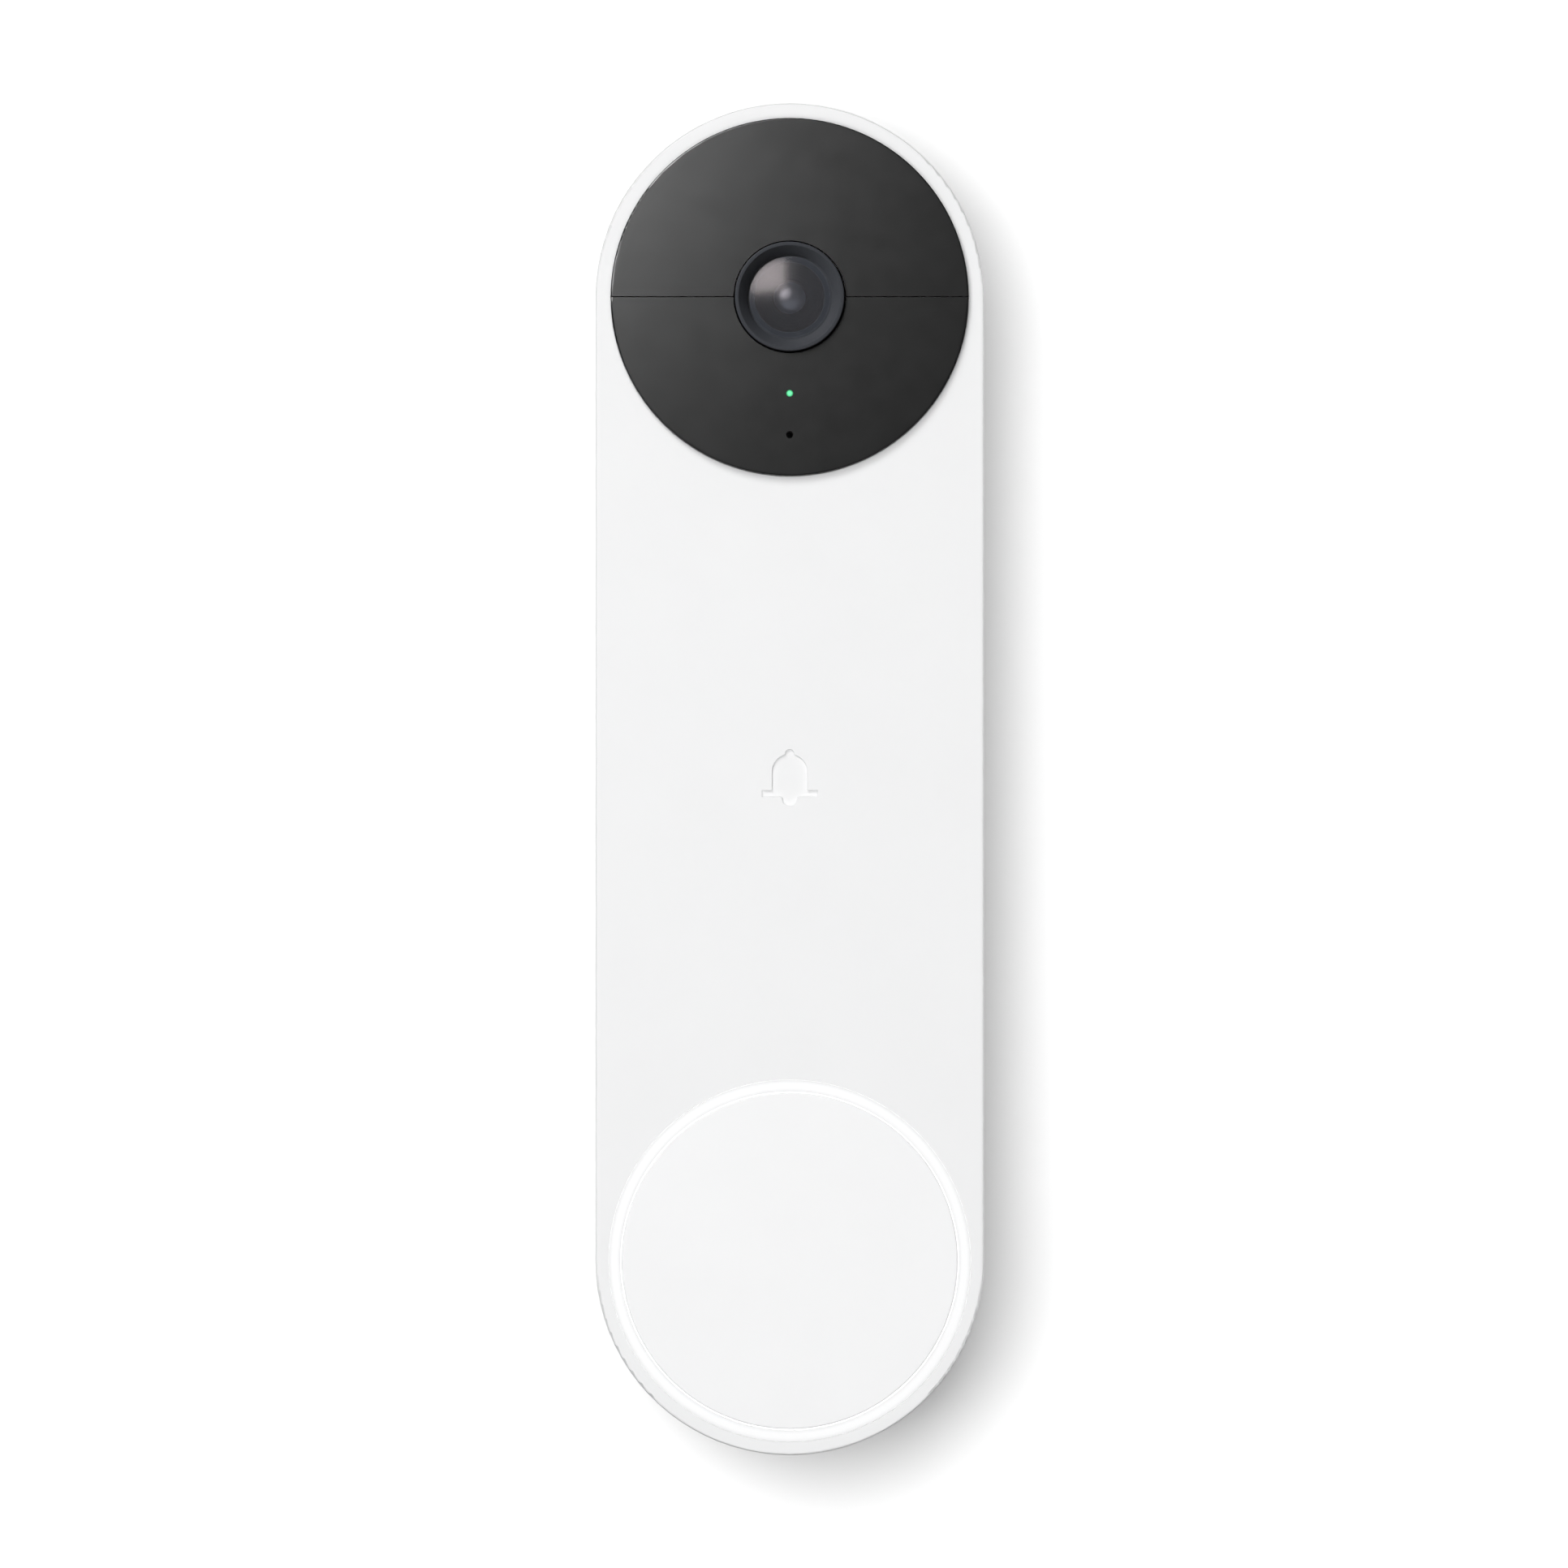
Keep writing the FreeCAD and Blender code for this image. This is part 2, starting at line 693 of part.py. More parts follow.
def housing_fasteners():
    screws = []
    for side in SIDES:
        for height in HOUSING_SCREW_HEIGHTS:
            place = {"x": f"{side} * boss_side", "z": height}
            head = rod("screw_head", "screw_head", "recess_floor + 0.05", "recess_floor + screw_head_depth",
                       **place)
            drive = block("screw_drive", "screw_drive_length", "screw_drive_width", "recess_floor",
                          "recess_floor + screw_drive_depth", **place)
            shank = rod("screw_shank", "boss_bore - thread_gap", "recess_floor + 0.7", "boss_bore_depth - 1",
                        **place)
            screws.append(combine("Cut", "screw", group("screw_blank", [head, shank]), drive))
    keep(group("housing_screws", screws))
    screws = []
    for side in SIDES:
        for height in CHASSIS_SCREW_HEIGHTS:
            place = {"x": f"{side} * boss_side", "z": height}
            head = rod("small_head", "small_head_radius", "chassis_rear - small_head_thick", "chassis_rear",
                       **place)
            shank = rod("small_shank", "short_boss_bore - thread_gap", "chassis_rear - 0.5",
                        "chassis_front + 3", **place)
            screws.append(group("small_screw", [head, shank]))
    keep(group("chassis_screws", screws))


def housing_seal():
    body = new_body("housing_seal")
    add(body, "ring", pair(stadium("seal_outer"), stadium("seal_inner")), "parting", "seal_depth")


def chassis():
    body = new_body("chassis")
    add(body, "plate", stadium("chassis_radius"), "chassis_rear", "chassis_front")
    through = ("chassis_rear - 1", "chassis_front + 1")
    for side in SIDES:
        for height in HOUSING_SCREW_HEIGHTS:
            cut(body, "boss_clearance", circle("boss_radius + 0.3"), *through, x=f"{side} * boss_side",
                z=height)
            cut(body, "gusset_clearance", rectangle("gusset_width + 1", "gusset_thick + 0.6"), *through,
                x=f"{side} * (body_radius - housing_wall - gusset_width / 2 + 0.3)", z=height)
        for height in CHASSIS_SCREW_HEIGHTS:
            cut(body, "screw_clearance", circle("chassis_hole"), *through, x=f"{side} * boss_side", z=height)
        for height in BOARD_POST_HEIGHTS:
            add(body, "board_post", circle("board_post_radius"), "chassis_front - 0.2", "main_board_rear",
                x=f"{side} * board_post_side", z=height)
        add(body, "night_post", circle("front_post_radius"), "chassis_front - 0.2", "front_board_rear",
            x=f"{side} * night_post_side", z="end_height + night_post_rise")
    for x in SENSOR_POST_SIDES:
        add(body, "sensor_post", circle("front_post_radius"), "chassis_front - 0.2", "front_board_rear", x=x,
            z="end_height - sensor_post_drop")
    cut(body, "camera_clearance", circle("camera_neck + 0.6"), *through, z="end_height")
    cut(body, "camera_ribbon_slot", rectangle("camera_ribbon_width + 2", "ribbon_slot"), *through,
        z="camera_ribbon_low + 0.5")
    cut(body, "battery_ribbon_slot", rectangle("battery_ribbon_width + 1", "ribbon_slot"), *through,
        x="battery_ribbon_side", z="0.2 - battery_ribbon_drop")


# ---- camera window and camera ----

def disc_cover(label, side):
    """Half of the dark camera window: side is 1 for the upper half and -1 for the lower."""
    body = new_body(label)
    disc = add(body, "disc", circle("disc_radius"), "face - disc_recess", "face + disc_proud",
               z="end_height")
    dress(body, "Fillet", "disc_edge", disc, SIZES["face"] + SIZES["disc_proud"], "disc_round")
    through = ("face - disc_recess - 1", "face + disc_proud + 1")
    cut(body, "bezel_hole", circle("bezel_radius + bezel_gap"), *through, z="end_height")
    cut(body, "other_half", rectangle("2 * body_radius", "body_radius"), *through,
        z=f"end_height - {side} * (body_radius / 2 - seam_gap / 2)")
    if side < 0:
        cut(body, "pipe_hole", circle("pipe_radius + pipe_gap"), *through, z="end_height - status_drop")
        cut(body, "mic_hole", circle("mic_radius"), *through, z="end_height - mic_drop")


def lens_bezel():
    ring = rod("bezel_ring", "bezel_radius", "face - face_wall - 0.5", "bezel_front", z="end_height")
    flange = rod("bezel_flange", "bezel_flange", "face - face_wall - bezel_flange_thick", "face - face_wall",
                 z="end_height")
    barrel_room = rod("bezel_barrel_room", "barrel_radius + lens_gap", "face - face_wall - 2",
                      "barrel_front + lens_gap", z="end_height")
    bore = rod("bezel_bore", "window_radius - 0.7", "barrel_front", "window_rear + 1", z="end_height")
    seat = rod("bezel_seat", "window_radius + lens_gap", "window_rear", "bezel_front", z="end_height")
    mouth = taper("bezel_mouth", "window_radius + lens_gap", "bezel_mouth", "window_edge", "bezel_front",
                  "end_height")
    blank = group("bezel_blank", [ring, flange])
    keep(combine("Cut", "lens_bezel", blank, group("bezel_inside", [barrel_room, bore, seat, mouth])))


def domed_disc(name, radius, rear, edge, front, z="end_height"):
    """A round glass with a flat rear and a domed front, straight-sided up to the depth of its edge."""
    dome_radius = f"((({radius}) * ({radius})) / (2 * (({front}) - ({edge}))) + (({front}) - ({edge})) / 2)"
    dome = ball(name + "_ball", dome_radius, f"({front}) - {dome_radius}", z)
    blank = rod(name + "_blank", radius, rear, front, z=z)
    return keep(combine("Common", name, blank, dome))


def lenses():
    domed_disc("lens_window", "window_radius", "window_rear", "window_edge", "window_front")
    domed_disc("front_lens", "front_lens_radius", "front_lens_rear", "front_lens_rear + front_lens_edge",
               "front_lens_rear + front_lens_thick")
    domed_disc("rear_lens", "rear_lens_radius", "rear_lens_rear", "rear_lens_rear + rear_lens_edge",
               "rear_lens_rear + rear_lens_thick")
    outside = rod("barrel_outside", "barrel_radius", "barrel_rear", "barrel_front", z="end_height")
    front_bore = rod("barrel_front_bore", "front_lens_radius + lens_gap", "front_lens_rear",
                     "barrel_front + 1",
                     z="end_height")
    rear_bore = rod("barrel_rear_bore", "rear_lens_radius + lens_gap", "rear_lens_rear", "barrel_front",
                    z="end_height")
    aperture = rod("barrel_aperture", "rear_lens_radius - 0.6", "barrel_rear - 1", "barrel_front",
                   z="end_height")
    keep(combine("Cut", "lens_barrel", outside, group("barrel_inside", [front_bore, rear_bore, aperture])))


def camera_housing():
    body = new_body("camera_housing")
    board_front = "(sensor_board_rear + board_thick)"
    add(body, "box", rectangle("camera_width", "camera_height"), board_front, "chassis_rear",
        x="-camera_shift", z="end_height")
    add(body, "neck", circle("camera_neck"), "chassis_rear - 0.2", "camera_neck_front", z="end_height")
    cut(body, "barrel_bore", circle("barrel_radius + lens_gap"),
        "filter_rear + filter_thick + filter_gap + 0.1",
        "camera_neck_front + 1", z="end_height")
    cut(body, "aperture", circle("camera_aperture"), board_front, "barrel_rear", z="end_height")
    cut(body, "sensor_room",
        rectangle("sensor_width + sensor_clearance", "sensor_height + sensor_clearance + 0.4"),
        f"{board_front} - 1", "filter_rear - 2 * filter_gap",
        z="end_height")
    cut(body, "filter_slot", rectangle("filter_width + filter_travel + 1", "filter_height + 2 * filter_gap"),
        "filter_rear - filter_gap", "filter_rear + filter_thick + filter_gap",
        x="-filter_travel / 2", z="end_height")


def camera_parts():
    board_front = "sensor_board_rear + board_thick"
    keep(block("sensor_board", "sensor_board_width", "camera_height", "sensor_board_rear", board_front,
               z="end_height"))
    keep(block("image_sensor", "sensor_width", "sensor_height", board_front, f"{board_front} + sensor_thick",
               z="end_height"))
    keep(block("ir_cut_filter", "filter_width", "filter_height", "filter_rear", "filter_rear + filter_thick",
               z="end_height"))
    keep(block("filter_actuator", "actuator_width", "actuator_height", "actuator_rear", "actuator_front",
               x="-actuator_side", z="end_height + camera_height / 2 + actuator_height / 2"))


def sensing_parts():
    rear = "front_board_rear"
    front = "(front_board_rear + board_thick)"
    housing = "(face - face_wall)"
    keep(block("night_led_board", "night_board_width", "night_board_height", rear, front,
               z="end_height + night_rise"))
    keep(block("front_sensor_board", "sensing_board_width", "sensing_board_height", rear, front,
               x="-sensing_board_side", z="end_height - sensing_board_drop"))
    lights = [rod("night_light", "night_radius", front, f"{housing} + night_reach", x=side,
                  z="end_height + night_rise")
              for side in NIGHT_LIGHT_SIDES]
    keep(group("infrared_leds", lights))
    status_height = "end_height - status_drop"
    keep(block("status_led", "status_led_width", "status_led_height", front, f"{front} + status_led_thick",
               z=status_height))
    pipe = rod("pipe_rod", "pipe_radius", f"{front} + status_led_thick + 0.05", "face + disc_proud",
               z=status_height)
    foot = rod("pipe_foot", "pipe_foot_radius", f"{front} + status_led_thick + 0.05", f"{housing} - 0.1",
               z=status_height)
    keep(group("status_light_pipe", [pipe, foot]))
    mic_height = "end_height - mic_drop"
    keep(block("microphone", "mic_width", "mic_height", front, f"{front} + mic_thick", z=mic_height))
    gasket = rod("gasket_disc", "gasket_radius", f"{front} + mic_thick", housing, z=mic_height)
    sound_hole = rod("gasket_hole", "mic_radius + 0.1", front, "face", z=mic_height)
    keep(combine("Cut", "microphone_gasket", gasket, sound_hole))
    keep(rod("motion_sensor", "motion_radius", front, f"{housing} + motion_reach", x="-motion_side",
             z="end_height - motion_drop"))


# ---- light ring and button ----

def light_ring():
    body = new_body("light_ring")
    add(body, "ring", pair(circle("ring_outer"), circle("ring_inner")), "face - ring_front_thick", "face",
        z="-end_height")
    add(body, "leg", pair(circle("ring_leg_outer"), circle("ring_inner")), "ring_leg_rear",
        "face - ring_front_thick", z="-end_height")


def button_cap():
    """A plate with a skirt, and tabs that reach under the light ring so that the cap cannot fall out."""
    body = new_body("button_cap")
    plate = add(body, "plate", circle("cap_radius"), "face - cap_thick", "face", z="-end_height")
    dress(body, "Fillet", "cap_edge", plate, SIZES["face"], "cap_round")
    add(body, "skirt", pair(circle("skirt_outer"), circle("skirt_inner")), "tab_rear", "face - cap_thick",
        z="-end_height")
    reach = "(tab_outer - skirt_inner)"
    for number in range(BUTTON_TAB_COUNT):
        angle = 45 + number * 360 / BUTTON_TAB_COUNT
        middle = f"(skirt_inner + {reach} / 2 + 0.1)"
        add(body, "tab", rectangle(f"{reach} - 0.2", "tab_width"), "tab_rear", "skirt_rear",
            x=f"{middle} * cos({angle} deg)", z=f"{middle} * sin({angle} deg) - end_height", turn=angle)
    # between the tabs the skirt stops short, which leaves room for the ring's lights
    for number in range(RING_LIGHT_COUNT):
        angle = number * 360 / RING_LIGHT_COUNT
        cut(body, "light_room", rectangle("light_room", "light_room"), "tab_rear - 1", "skirt_rear",
            x=f"light_room_circle * cos({angle} deg)",
            z=f"light_room_circle * sin({angle} deg) - end_height", turn=angle)
    cut(body, "ribbon_room", rectangle("button_ribbon_width + 1", "light_room + 2"), "tab_rear - 1",
        "skirt_rear",
        x="button_ribbon_side", z="light_room_circle - end_height")


def button_parts():
    middle = {"z": "-end_height"}
    board_front = "(chassis_front + board_thick)"
    keep(rod("button_board", "button_board_radius", "chassis_front", board_front, **middle))
    lights = []
    for number in range(RING_LIGHT_COUNT):
        angle = number * 360 / RING_LIGHT_COUNT
        across, up = f"cos({angle} deg)", f"sin({angle} deg)"
        light = doc.addObject("Part::Box", "ring_light")
        bind(light, Length="ring_led_deep", Height="ring_led_width", Width="ring_led_thick",
             Placement__Base__x=f"ring_led_circle * {across} + ring_led_width / 2 * {up}",
             Placement__Base__y=f"-({board_front} + ring_led_thick)",
             Placement__Base__z=f"ring_led_circle * {up} - ring_led_width / 2 * {across} - end_height")
        light.Placement.Rotation = Rotation(Vector(0, 1, 0), -angle)
        lights.append(light)
    keep(group("ring_leds", lights))
    switch = block("switch_body", "switch_size", "switch_size", board_front, f"{board_front} + switch_thick",
                   **middle)
    bore = rod("switch_bore", "plunger_radius + 0.1", "plunger_rear - 0.5",
               f"{board_front} + switch_thick + 1",
               **middle)
    keep(combine("Cut", "tact_switch", switch, bore))
    keep(rod("switch_plunger", "plunger_radius", "plunger_rear", "face - cap_thick - plunger_gap", **middle))
    sheet_disc = rod("seal_disc", "button_seal_radius", board_front, f"{board_front} + button_seal_thick",
                     **middle)
    switch_room = rod("seal_hole", "button_seal_hole", board_front, f"{board_front} + 1", **middle)
    keep(combine("Cut", "button_seal", sheet_disc, switch_room))


# ---- electronics, battery, speaker ----

def ribbon(name, width, x, runs):
    """A flat ribbon cable. Each run is its low and high height, then its rear and front depth."""
    pieces = [block(name + "_run", width, f"({high}) - ({low})", rear, front, x=x,
                    z=f"(({high}) + ({low})) / 2")
              for low, high, rear, front in runs]
    keep(group(name, pieces))


def electronics():
    board_front = "(main_board_rear + main_board_thick)"
    keep(block("main_board", "main_board_width", "main_board_height", "main_board_rear", board_front,
               z="main_board_middle"))
    keep(block("processor_shield", "processor_shield", "processor_shield", board_front,
               f"{board_front} + processor_shield_thick", z="processor_height"))
    keep(block("radio_shield", "radio_shield_width", "radio_shield_height", board_front,
               f"{board_front} + radio_shield_thick", x="radio_side", z="-radio_drop"))
    keep(block("wifi_antenna", "antenna_width", "antenna_height", "face - face_wall - antenna_thick",
               "face - face_wall", z="-antenna_drop"))
    over = f"({board_front} + ribbon_thick)"
    ribbon("camera_flex", "camera_ribbon_width", "0", [
        ("camera_ribbon_low", "end_height - camera_height / 2", "camera_ribbon_rear",
         "camera_ribbon_rear + ribbon_thick"),
        ("camera_ribbon_low", "camera_ribbon_low + ribbon_thick", "camera_ribbon_rear", over),
        ("camera_ribbon_end", "camera_ribbon_low + ribbon_thick", board_front, over)])
    low = "-battery_ribbon_drop"
    ribbon("battery_flex", "battery_ribbon_width", "battery_ribbon_side", [
        (low, "battery_middle - battery_height / 2", "battery_ribbon_rear",
         "battery_ribbon_rear + ribbon_thick"),
        (low, f"{low} + ribbon_thick", "battery_ribbon_rear", over),
        (low, "-board_ribbon_drop", board_front, over)])
    low = "-button_ribbon_drop"
    button_board_front = "chassis_front + board_thick"
    ribbon("button_flex", "button_ribbon_width", "button_ribbon_side", [
        ("-button_ribbon_end", f"{low} + ribbon_thick", button_board_front,
         f"{button_board_front} + ribbon_thick"),
        (low, f"{low} + ribbon_thick", button_board_front, over),
        (low, "-board_ribbon_drop", board_front, over)])


def battery():
    body = new_body("battery_pack")
    cell = add(body, "cell", rectangle("battery_width", "battery_height"), "battery_rear", "chassis_rear",
               z="battery_middle")
    doc.recompute()
    corners = [f"Edge{number}" for number, edge in enumerate(cell.Shape.Edges, start=1)
               if edge.BoundBox.YLength > 1]
    rounding = body.newObject("PartDesign::Fillet", "corners")
    rounding.Base = (cell, corners)
    bind(rounding, Radius="battery_round")


def speaker():
    top = "(speaker_height - speaker_bottom)"
    front = "(speaker_rear + speaker_thick)"
    frame = block("speaker_block", "speaker_width", "speaker_height", "speaker_rear", front,
                  z="speaker_height / 2 - speaker_bottom")
    room = block("speaker_room", "speaker_width - 2 * speaker_wall", "speaker_height", "speaker_rear + 0.8",
                 f"{front} - 0.8", z="speaker_height / 2 - speaker_bottom - speaker_wall")
    keep(combine("Cut", "speaker_frame", frame, room))
    keep(block("speaker_magnet", "magnet_width", "magnet_height", "speaker_rear + magnet_inset",
               f"{front} - magnet_inset", z=f"{top} - speaker_wall - magnet_height / 2"))
    cone = block("speaker_sheet", "speaker_width - 2 * speaker_wall - 0.2", "cone_thick",
                 "speaker_rear + 0.9",
                 f"{front} - 0.9", z="1.5 * cone_thick - speaker_bottom")
    coil = block("speaker_coil", "coil_width", "coil_height", "speaker_rear + coil_inset",
                 f"{front} - coil_inset", z="2 * cone_thick + coil_height / 2 - speaker_bottom")
    keep(group("speaker_cone", [cone, coil]))
    duct_front = "(duct_rear + duct_thick)"
    duct_middle = "-(speaker_bottom + duct_height / 2)"
    duct = block("duct_block", "duct_width", "duct_height", "duct_rear", duct_front, z=duct_middle)
    channel = block("duct_channel", "duct_width - 2 * duct_wall", "duct_height + 1", "duct_rear + duct_wall",
                    f"{duct_front} - duct_wall", z=duct_middle)
    keep(combine("Cut", "speaker_duct", duct, channel))
    keep(block("speaker_mesh", "mesh_width", "mesh_thick", "duct_rear + 0.3", f"{duct_front} - 0.3",
               z="-(speaker_bottom + duct_height + mesh_thick / 2)"))


# ---- rear panel ----

def usb_port():
    body = new_body("usb_port")
    place = {"x": "-port_side", "z": "-port_drop"}
    add(body, "shell", stadium("port_radius", "port_half_length"), "port_rear", "port_board_rear", turn=90.0,
        **place)
    cut(body, "mouth", stadium("port_radius - port_wall", "port_half_length"), "port_rear - 1",
        "port_board_rear - 1", turn=90.0, **place)
    add(body, "tongue", rectangle("port_tongue_width", "port_tongue_thick"), "port_rear + 1",
        "port_board_rear - 0.5", **place)


def rear_panel_parts():
    keep(block("rear_port_board", "rear_board_width", "rear_board_height", "port_board_rear",
               "port_board_rear + board_thick", z="-rear_board_drop"))
    keep(block("reset_switch", "reset_switch_size", "reset_switch_size",
               "port_board_rear - reset_switch_thick",
               "port_board_rear", x="reset_side", z="-port_drop"))
    place = {"x": "reset_side", "z": "-port_drop"}
    cap = rod("reset_cap", "reset_radius", "reset_rear", "rear_floor + 0.5", **place)
    flange = rod("reset_flange", "reset_flange_radius", "rear_floor + 0.05", "rear_floor + 0.8", **place)
    stem = rod("reset_stem", "reset_stem_radius", "rear_floor + 0.5",
               "port_board_rear - reset_switch_thick - reset_travel", **place)
    keep(group("reset_button", [cap, flange, stem]))


def terminals():
    drop = {"z": "-terminal_drop"}
    base = block("terminal_base", "terminal_pocket_width - 2 * terminal_fit",
                 "terminal_pocket_height - 2 * terminal_fit", "terminal_block_front",
                 "terminal_pocket_floor", **drop)
    rib = block("terminal_rib", "terminal_rib", "terminal_pocket_height - 2 * terminal_fit",
                "recess_floor + 0.4",
                "terminal_block_front + 0.5", **drop)
    rooms = [rod("nut_room", "nut_radius", "terminal_block_front - 1", "terminal_pocket_floor + 1",
                 x=f"{side} * terminal_side", **drop) for side in SIDES]
    keep(combine("Cut", "terminal_block", group("terminal_blank", [base, rib]), group("nut_rooms", rooms)))
    nuts = []
    for side, word in zip(SIDES, ("left", "right")):
        place = {"x": f"{side} * terminal_side", "z": "-terminal_drop"}
        barrel = rod("nut_barrel", "nut_radius", "terminal_block_front", "terminal_pocket_floor", **place)
        pin = rod("nut_pin", "nut_pin", "terminal_pocket_floor - 0.3", "port_board_rear", **place)
        bore = rod("nut_bore", "terminal_screw_radius + terminal_screw_gap", "terminal_block_front - 1",
                   "terminal_pocket_floor - 0.3", **place)
        nuts.append(group("nut", [combine("Cut", "nut_tube", barrel, bore), pin]))
        terminal_screw(word, place)
    keep(group("terminal_nuts", nuts))


def terminal_screw(word, place):
    """A slotted screw and the square washer that it clamps a wire with."""
    head = rod(word + "_head", "terminal_head_radius", "terminal_head_rear", "clamp_rear - 0.05", **place)
    shank = rod(word + "_shank", "terminal_screw_radius", "clamp_rear - 0.2", "terminal_pocket_floor - 0.4",
                **place)
    slot = block(word + "_slot", "terminal_slot", "3 * terminal_head_radius", "terminal_head_rear - 1",
                 "terminal_head_rear + terminal_slot", **place)
    keep(combine("Cut", word + "_terminal_screw", group(word + "_screw_blank", [head, shank]), slot))
    plate = block(word + "_plate", "clamp_size", "clamp_size", "clamp_rear", "clamp_rear + clamp_thick",
                  **place)
    hole = rod(word + "_hole", "terminal_screw_radius + 0.1", "clamp_rear - 1",
               "clamp_rear + clamp_thick + 1",
               **place)
    keep(combine("Cut", word + "_clamp_plate", plate, hole))


# ---- wall side ----

def wall_plate():
    body = new_body("wall_plate")
    plate = add(body, "plate", stadium("plate_radius"), "0", "plate_thick")
    dress(body, "Chamfer", "plate_edge", plate, SIZES["plate_thick"], "plate_chamfer")
    through = ("-1", "plate_thick + 1")
    cut(body, "wire_window", rectangle("wire_window_width", "wire_window_height"), *through,
        z="-terminal_drop")
    for height in ("wall_screw_high", "-wall_screw_low"):
        cut(body, "wall_screw_hole", circle("wall_screw_radius"), *through, z=height)
        cut(body, "wall_screw_sink", circle("wall_screw_sink"), "plate_thick - wall_screw_sink_depth",
            "plate_thick + 1", z=height)
    for side in SIDES:
        cut(body, "hook_window", rectangle("hook_window_width", "hook_window_height"), *through,
            x=f"{side} * hook_side", z="-hook_window_top - hook_window_height / 2")
    for height in RIVET_HEIGHTS:
        cut(body, "rivet_hole", circle("rivet_radius + 0.05"), *through, z=height)
    for side in (-1, 0, 1):
        across(body, "lug", "Pad", circle("lug_radius"), "lug_width", x=f"{side} * lug_side",
               depth="pivot_depth", z="-pivot_drop")
    across(body, "bar", "Pad", circle("bar_radius"), "bar_length", depth="pivot_depth", z="-pivot_drop")


def latch():
    """A bent strip of spring steel, riveted to the wall plate, that hooks over the rear housing's catch."""
    root = block("latch_foot", "latch_width", "latch_upright - latch_root", "plate_thick",
                 "plate_thick + latch_strip", z="(latch_upright + latch_root) / 2")
    upright = block("latch_arm", "latch_width", "latch_strip", "plate_thick", "latch_front",
                    z="latch_upright - latch_strip / 2")
    tip = block("latch_hook", "latch_width", "latch_tip - latch_upright + latch_strip", "latch_catch",
                "latch_front", z="(latch_tip + latch_upright - latch_strip) / 2")
    holes = [rod("latch_hole", "rivet_radius + 0.05", "0", "plate_thick + 1",
                 z=height) for height in RIVET_HEIGHTS]
    strip = group("latch_strip", [root, upright, tip])
    keep(combine("Cut", "latch_spring", strip, group("latch_holes", holes)))
    rivets = []
    for height in RIVET_HEIGHTS:
        shank = rod("rivet_shank", "rivet_radius", "rivet_rear", "plate_thick + latch_strip + 0.2", z=height)
        head = rod("rivet_head", "rivet_head", "plate_thick + latch_strip",
                   "plate_thick + latch_strip + rivet_head_thick", z=height)
        rivets.append(group("rivet", [shank, head]))
    keep(group("latch_rivets", rivets))


# ---- checks and files ----

def check_document():
    """Stops if an object failed, a cut removed nothing, or a sub-part's shape is missing or invalid."""
    for item in doc.Objects:
        if "Invalid" in item.State or "Error" in item.State:
            raise RuntimeError(f"{item.Name} failed: {item.State}")
        if item.TypeId == "PartDesign::Pocket" and item.Shape.Volume > item.BaseFeature.Shape.Volume - 1e-6:
            raise RuntimeError(f"{item.Name} cuts nothing")
    for item in sub_parts:
        if item.Shape.isNull() or not item.Shape.isValid() or not item.Shape.Solids:
            raise RuntimeError(f"{item.Label} has no valid solid")


def write_parts():
    os.makedirs("parts", exist_ok=True)
    for item in sub_parts:
        item.Shape.exportStep(f"parts/{item.Label}.step")
        print(f"{item.Label}: {len(item.Shape.Solids)} solid(s), {item.Shape.Volume:.1f} mm3")
    print(len(sub_parts), "sub-parts")


fill_sheet()
wall_plate()
latch()
rear_housing()
front_housing()
housing_seal()
chassis()
housing_fasteners()
disc_cover("upper_disc_cover", 1)
disc_cover("lower_disc_cover", -1)
lens_bezel()
lenses()
camera_housing()
camera_parts()
sensing_parts()
light_ring()
button_cap()
button_parts()
electronics()
battery()
speaker()
usb_port()
rear_panel_parts()
terminals()
doc.recompute()
check_document()
write_parts()
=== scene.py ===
import json
import random
from math import atan2, cos, pi, radians, sin, sqrt, tan

import bmesh
import bpy
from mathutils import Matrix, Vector


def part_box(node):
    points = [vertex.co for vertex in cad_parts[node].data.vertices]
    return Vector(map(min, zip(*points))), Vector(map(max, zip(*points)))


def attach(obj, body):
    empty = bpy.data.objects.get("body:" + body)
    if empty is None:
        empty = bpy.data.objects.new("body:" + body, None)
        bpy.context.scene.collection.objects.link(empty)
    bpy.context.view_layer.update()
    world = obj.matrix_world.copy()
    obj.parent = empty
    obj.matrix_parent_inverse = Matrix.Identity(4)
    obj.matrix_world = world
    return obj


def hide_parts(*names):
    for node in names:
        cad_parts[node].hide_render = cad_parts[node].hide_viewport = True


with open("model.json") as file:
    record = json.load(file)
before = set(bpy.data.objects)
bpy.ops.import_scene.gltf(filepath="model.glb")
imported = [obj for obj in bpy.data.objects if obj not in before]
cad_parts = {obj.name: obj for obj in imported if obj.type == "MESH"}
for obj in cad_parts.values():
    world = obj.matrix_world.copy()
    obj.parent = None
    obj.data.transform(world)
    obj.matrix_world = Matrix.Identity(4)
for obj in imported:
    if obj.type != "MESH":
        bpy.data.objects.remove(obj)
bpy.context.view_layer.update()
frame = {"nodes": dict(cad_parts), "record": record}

MM = 0.001
nodes = frame["nodes"]
scene = bpy.context.scene
draw = random.Random(7)


# ---- places, worked out from the frame ----

class Place:
    """The box of a CAD node, with depths counted out from the wall."""

    def __init__(self, node):
        low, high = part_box(node)
        self.low, self.high = low, high
        self.x, self.z = (low.x + high.x) / 2, (low.z + high.z) / 2
        self.width, self.height = high.x - low.x, high.z - low.z
        self.rear, self.front = -high.y, -low.y
        self.radius = self.width / 2


housing = Place("front_housing")
ring = Place("light_ring")
bezel = Place("lens_bezel")
window = Place("lens_window")
pipe = Place("status_light_pipe")
barrel = Place("lens_barrel")
FACE = housing.front
LENS_Z = bezel.z
BUTTON_Z = ring.z


# ---- materials ----

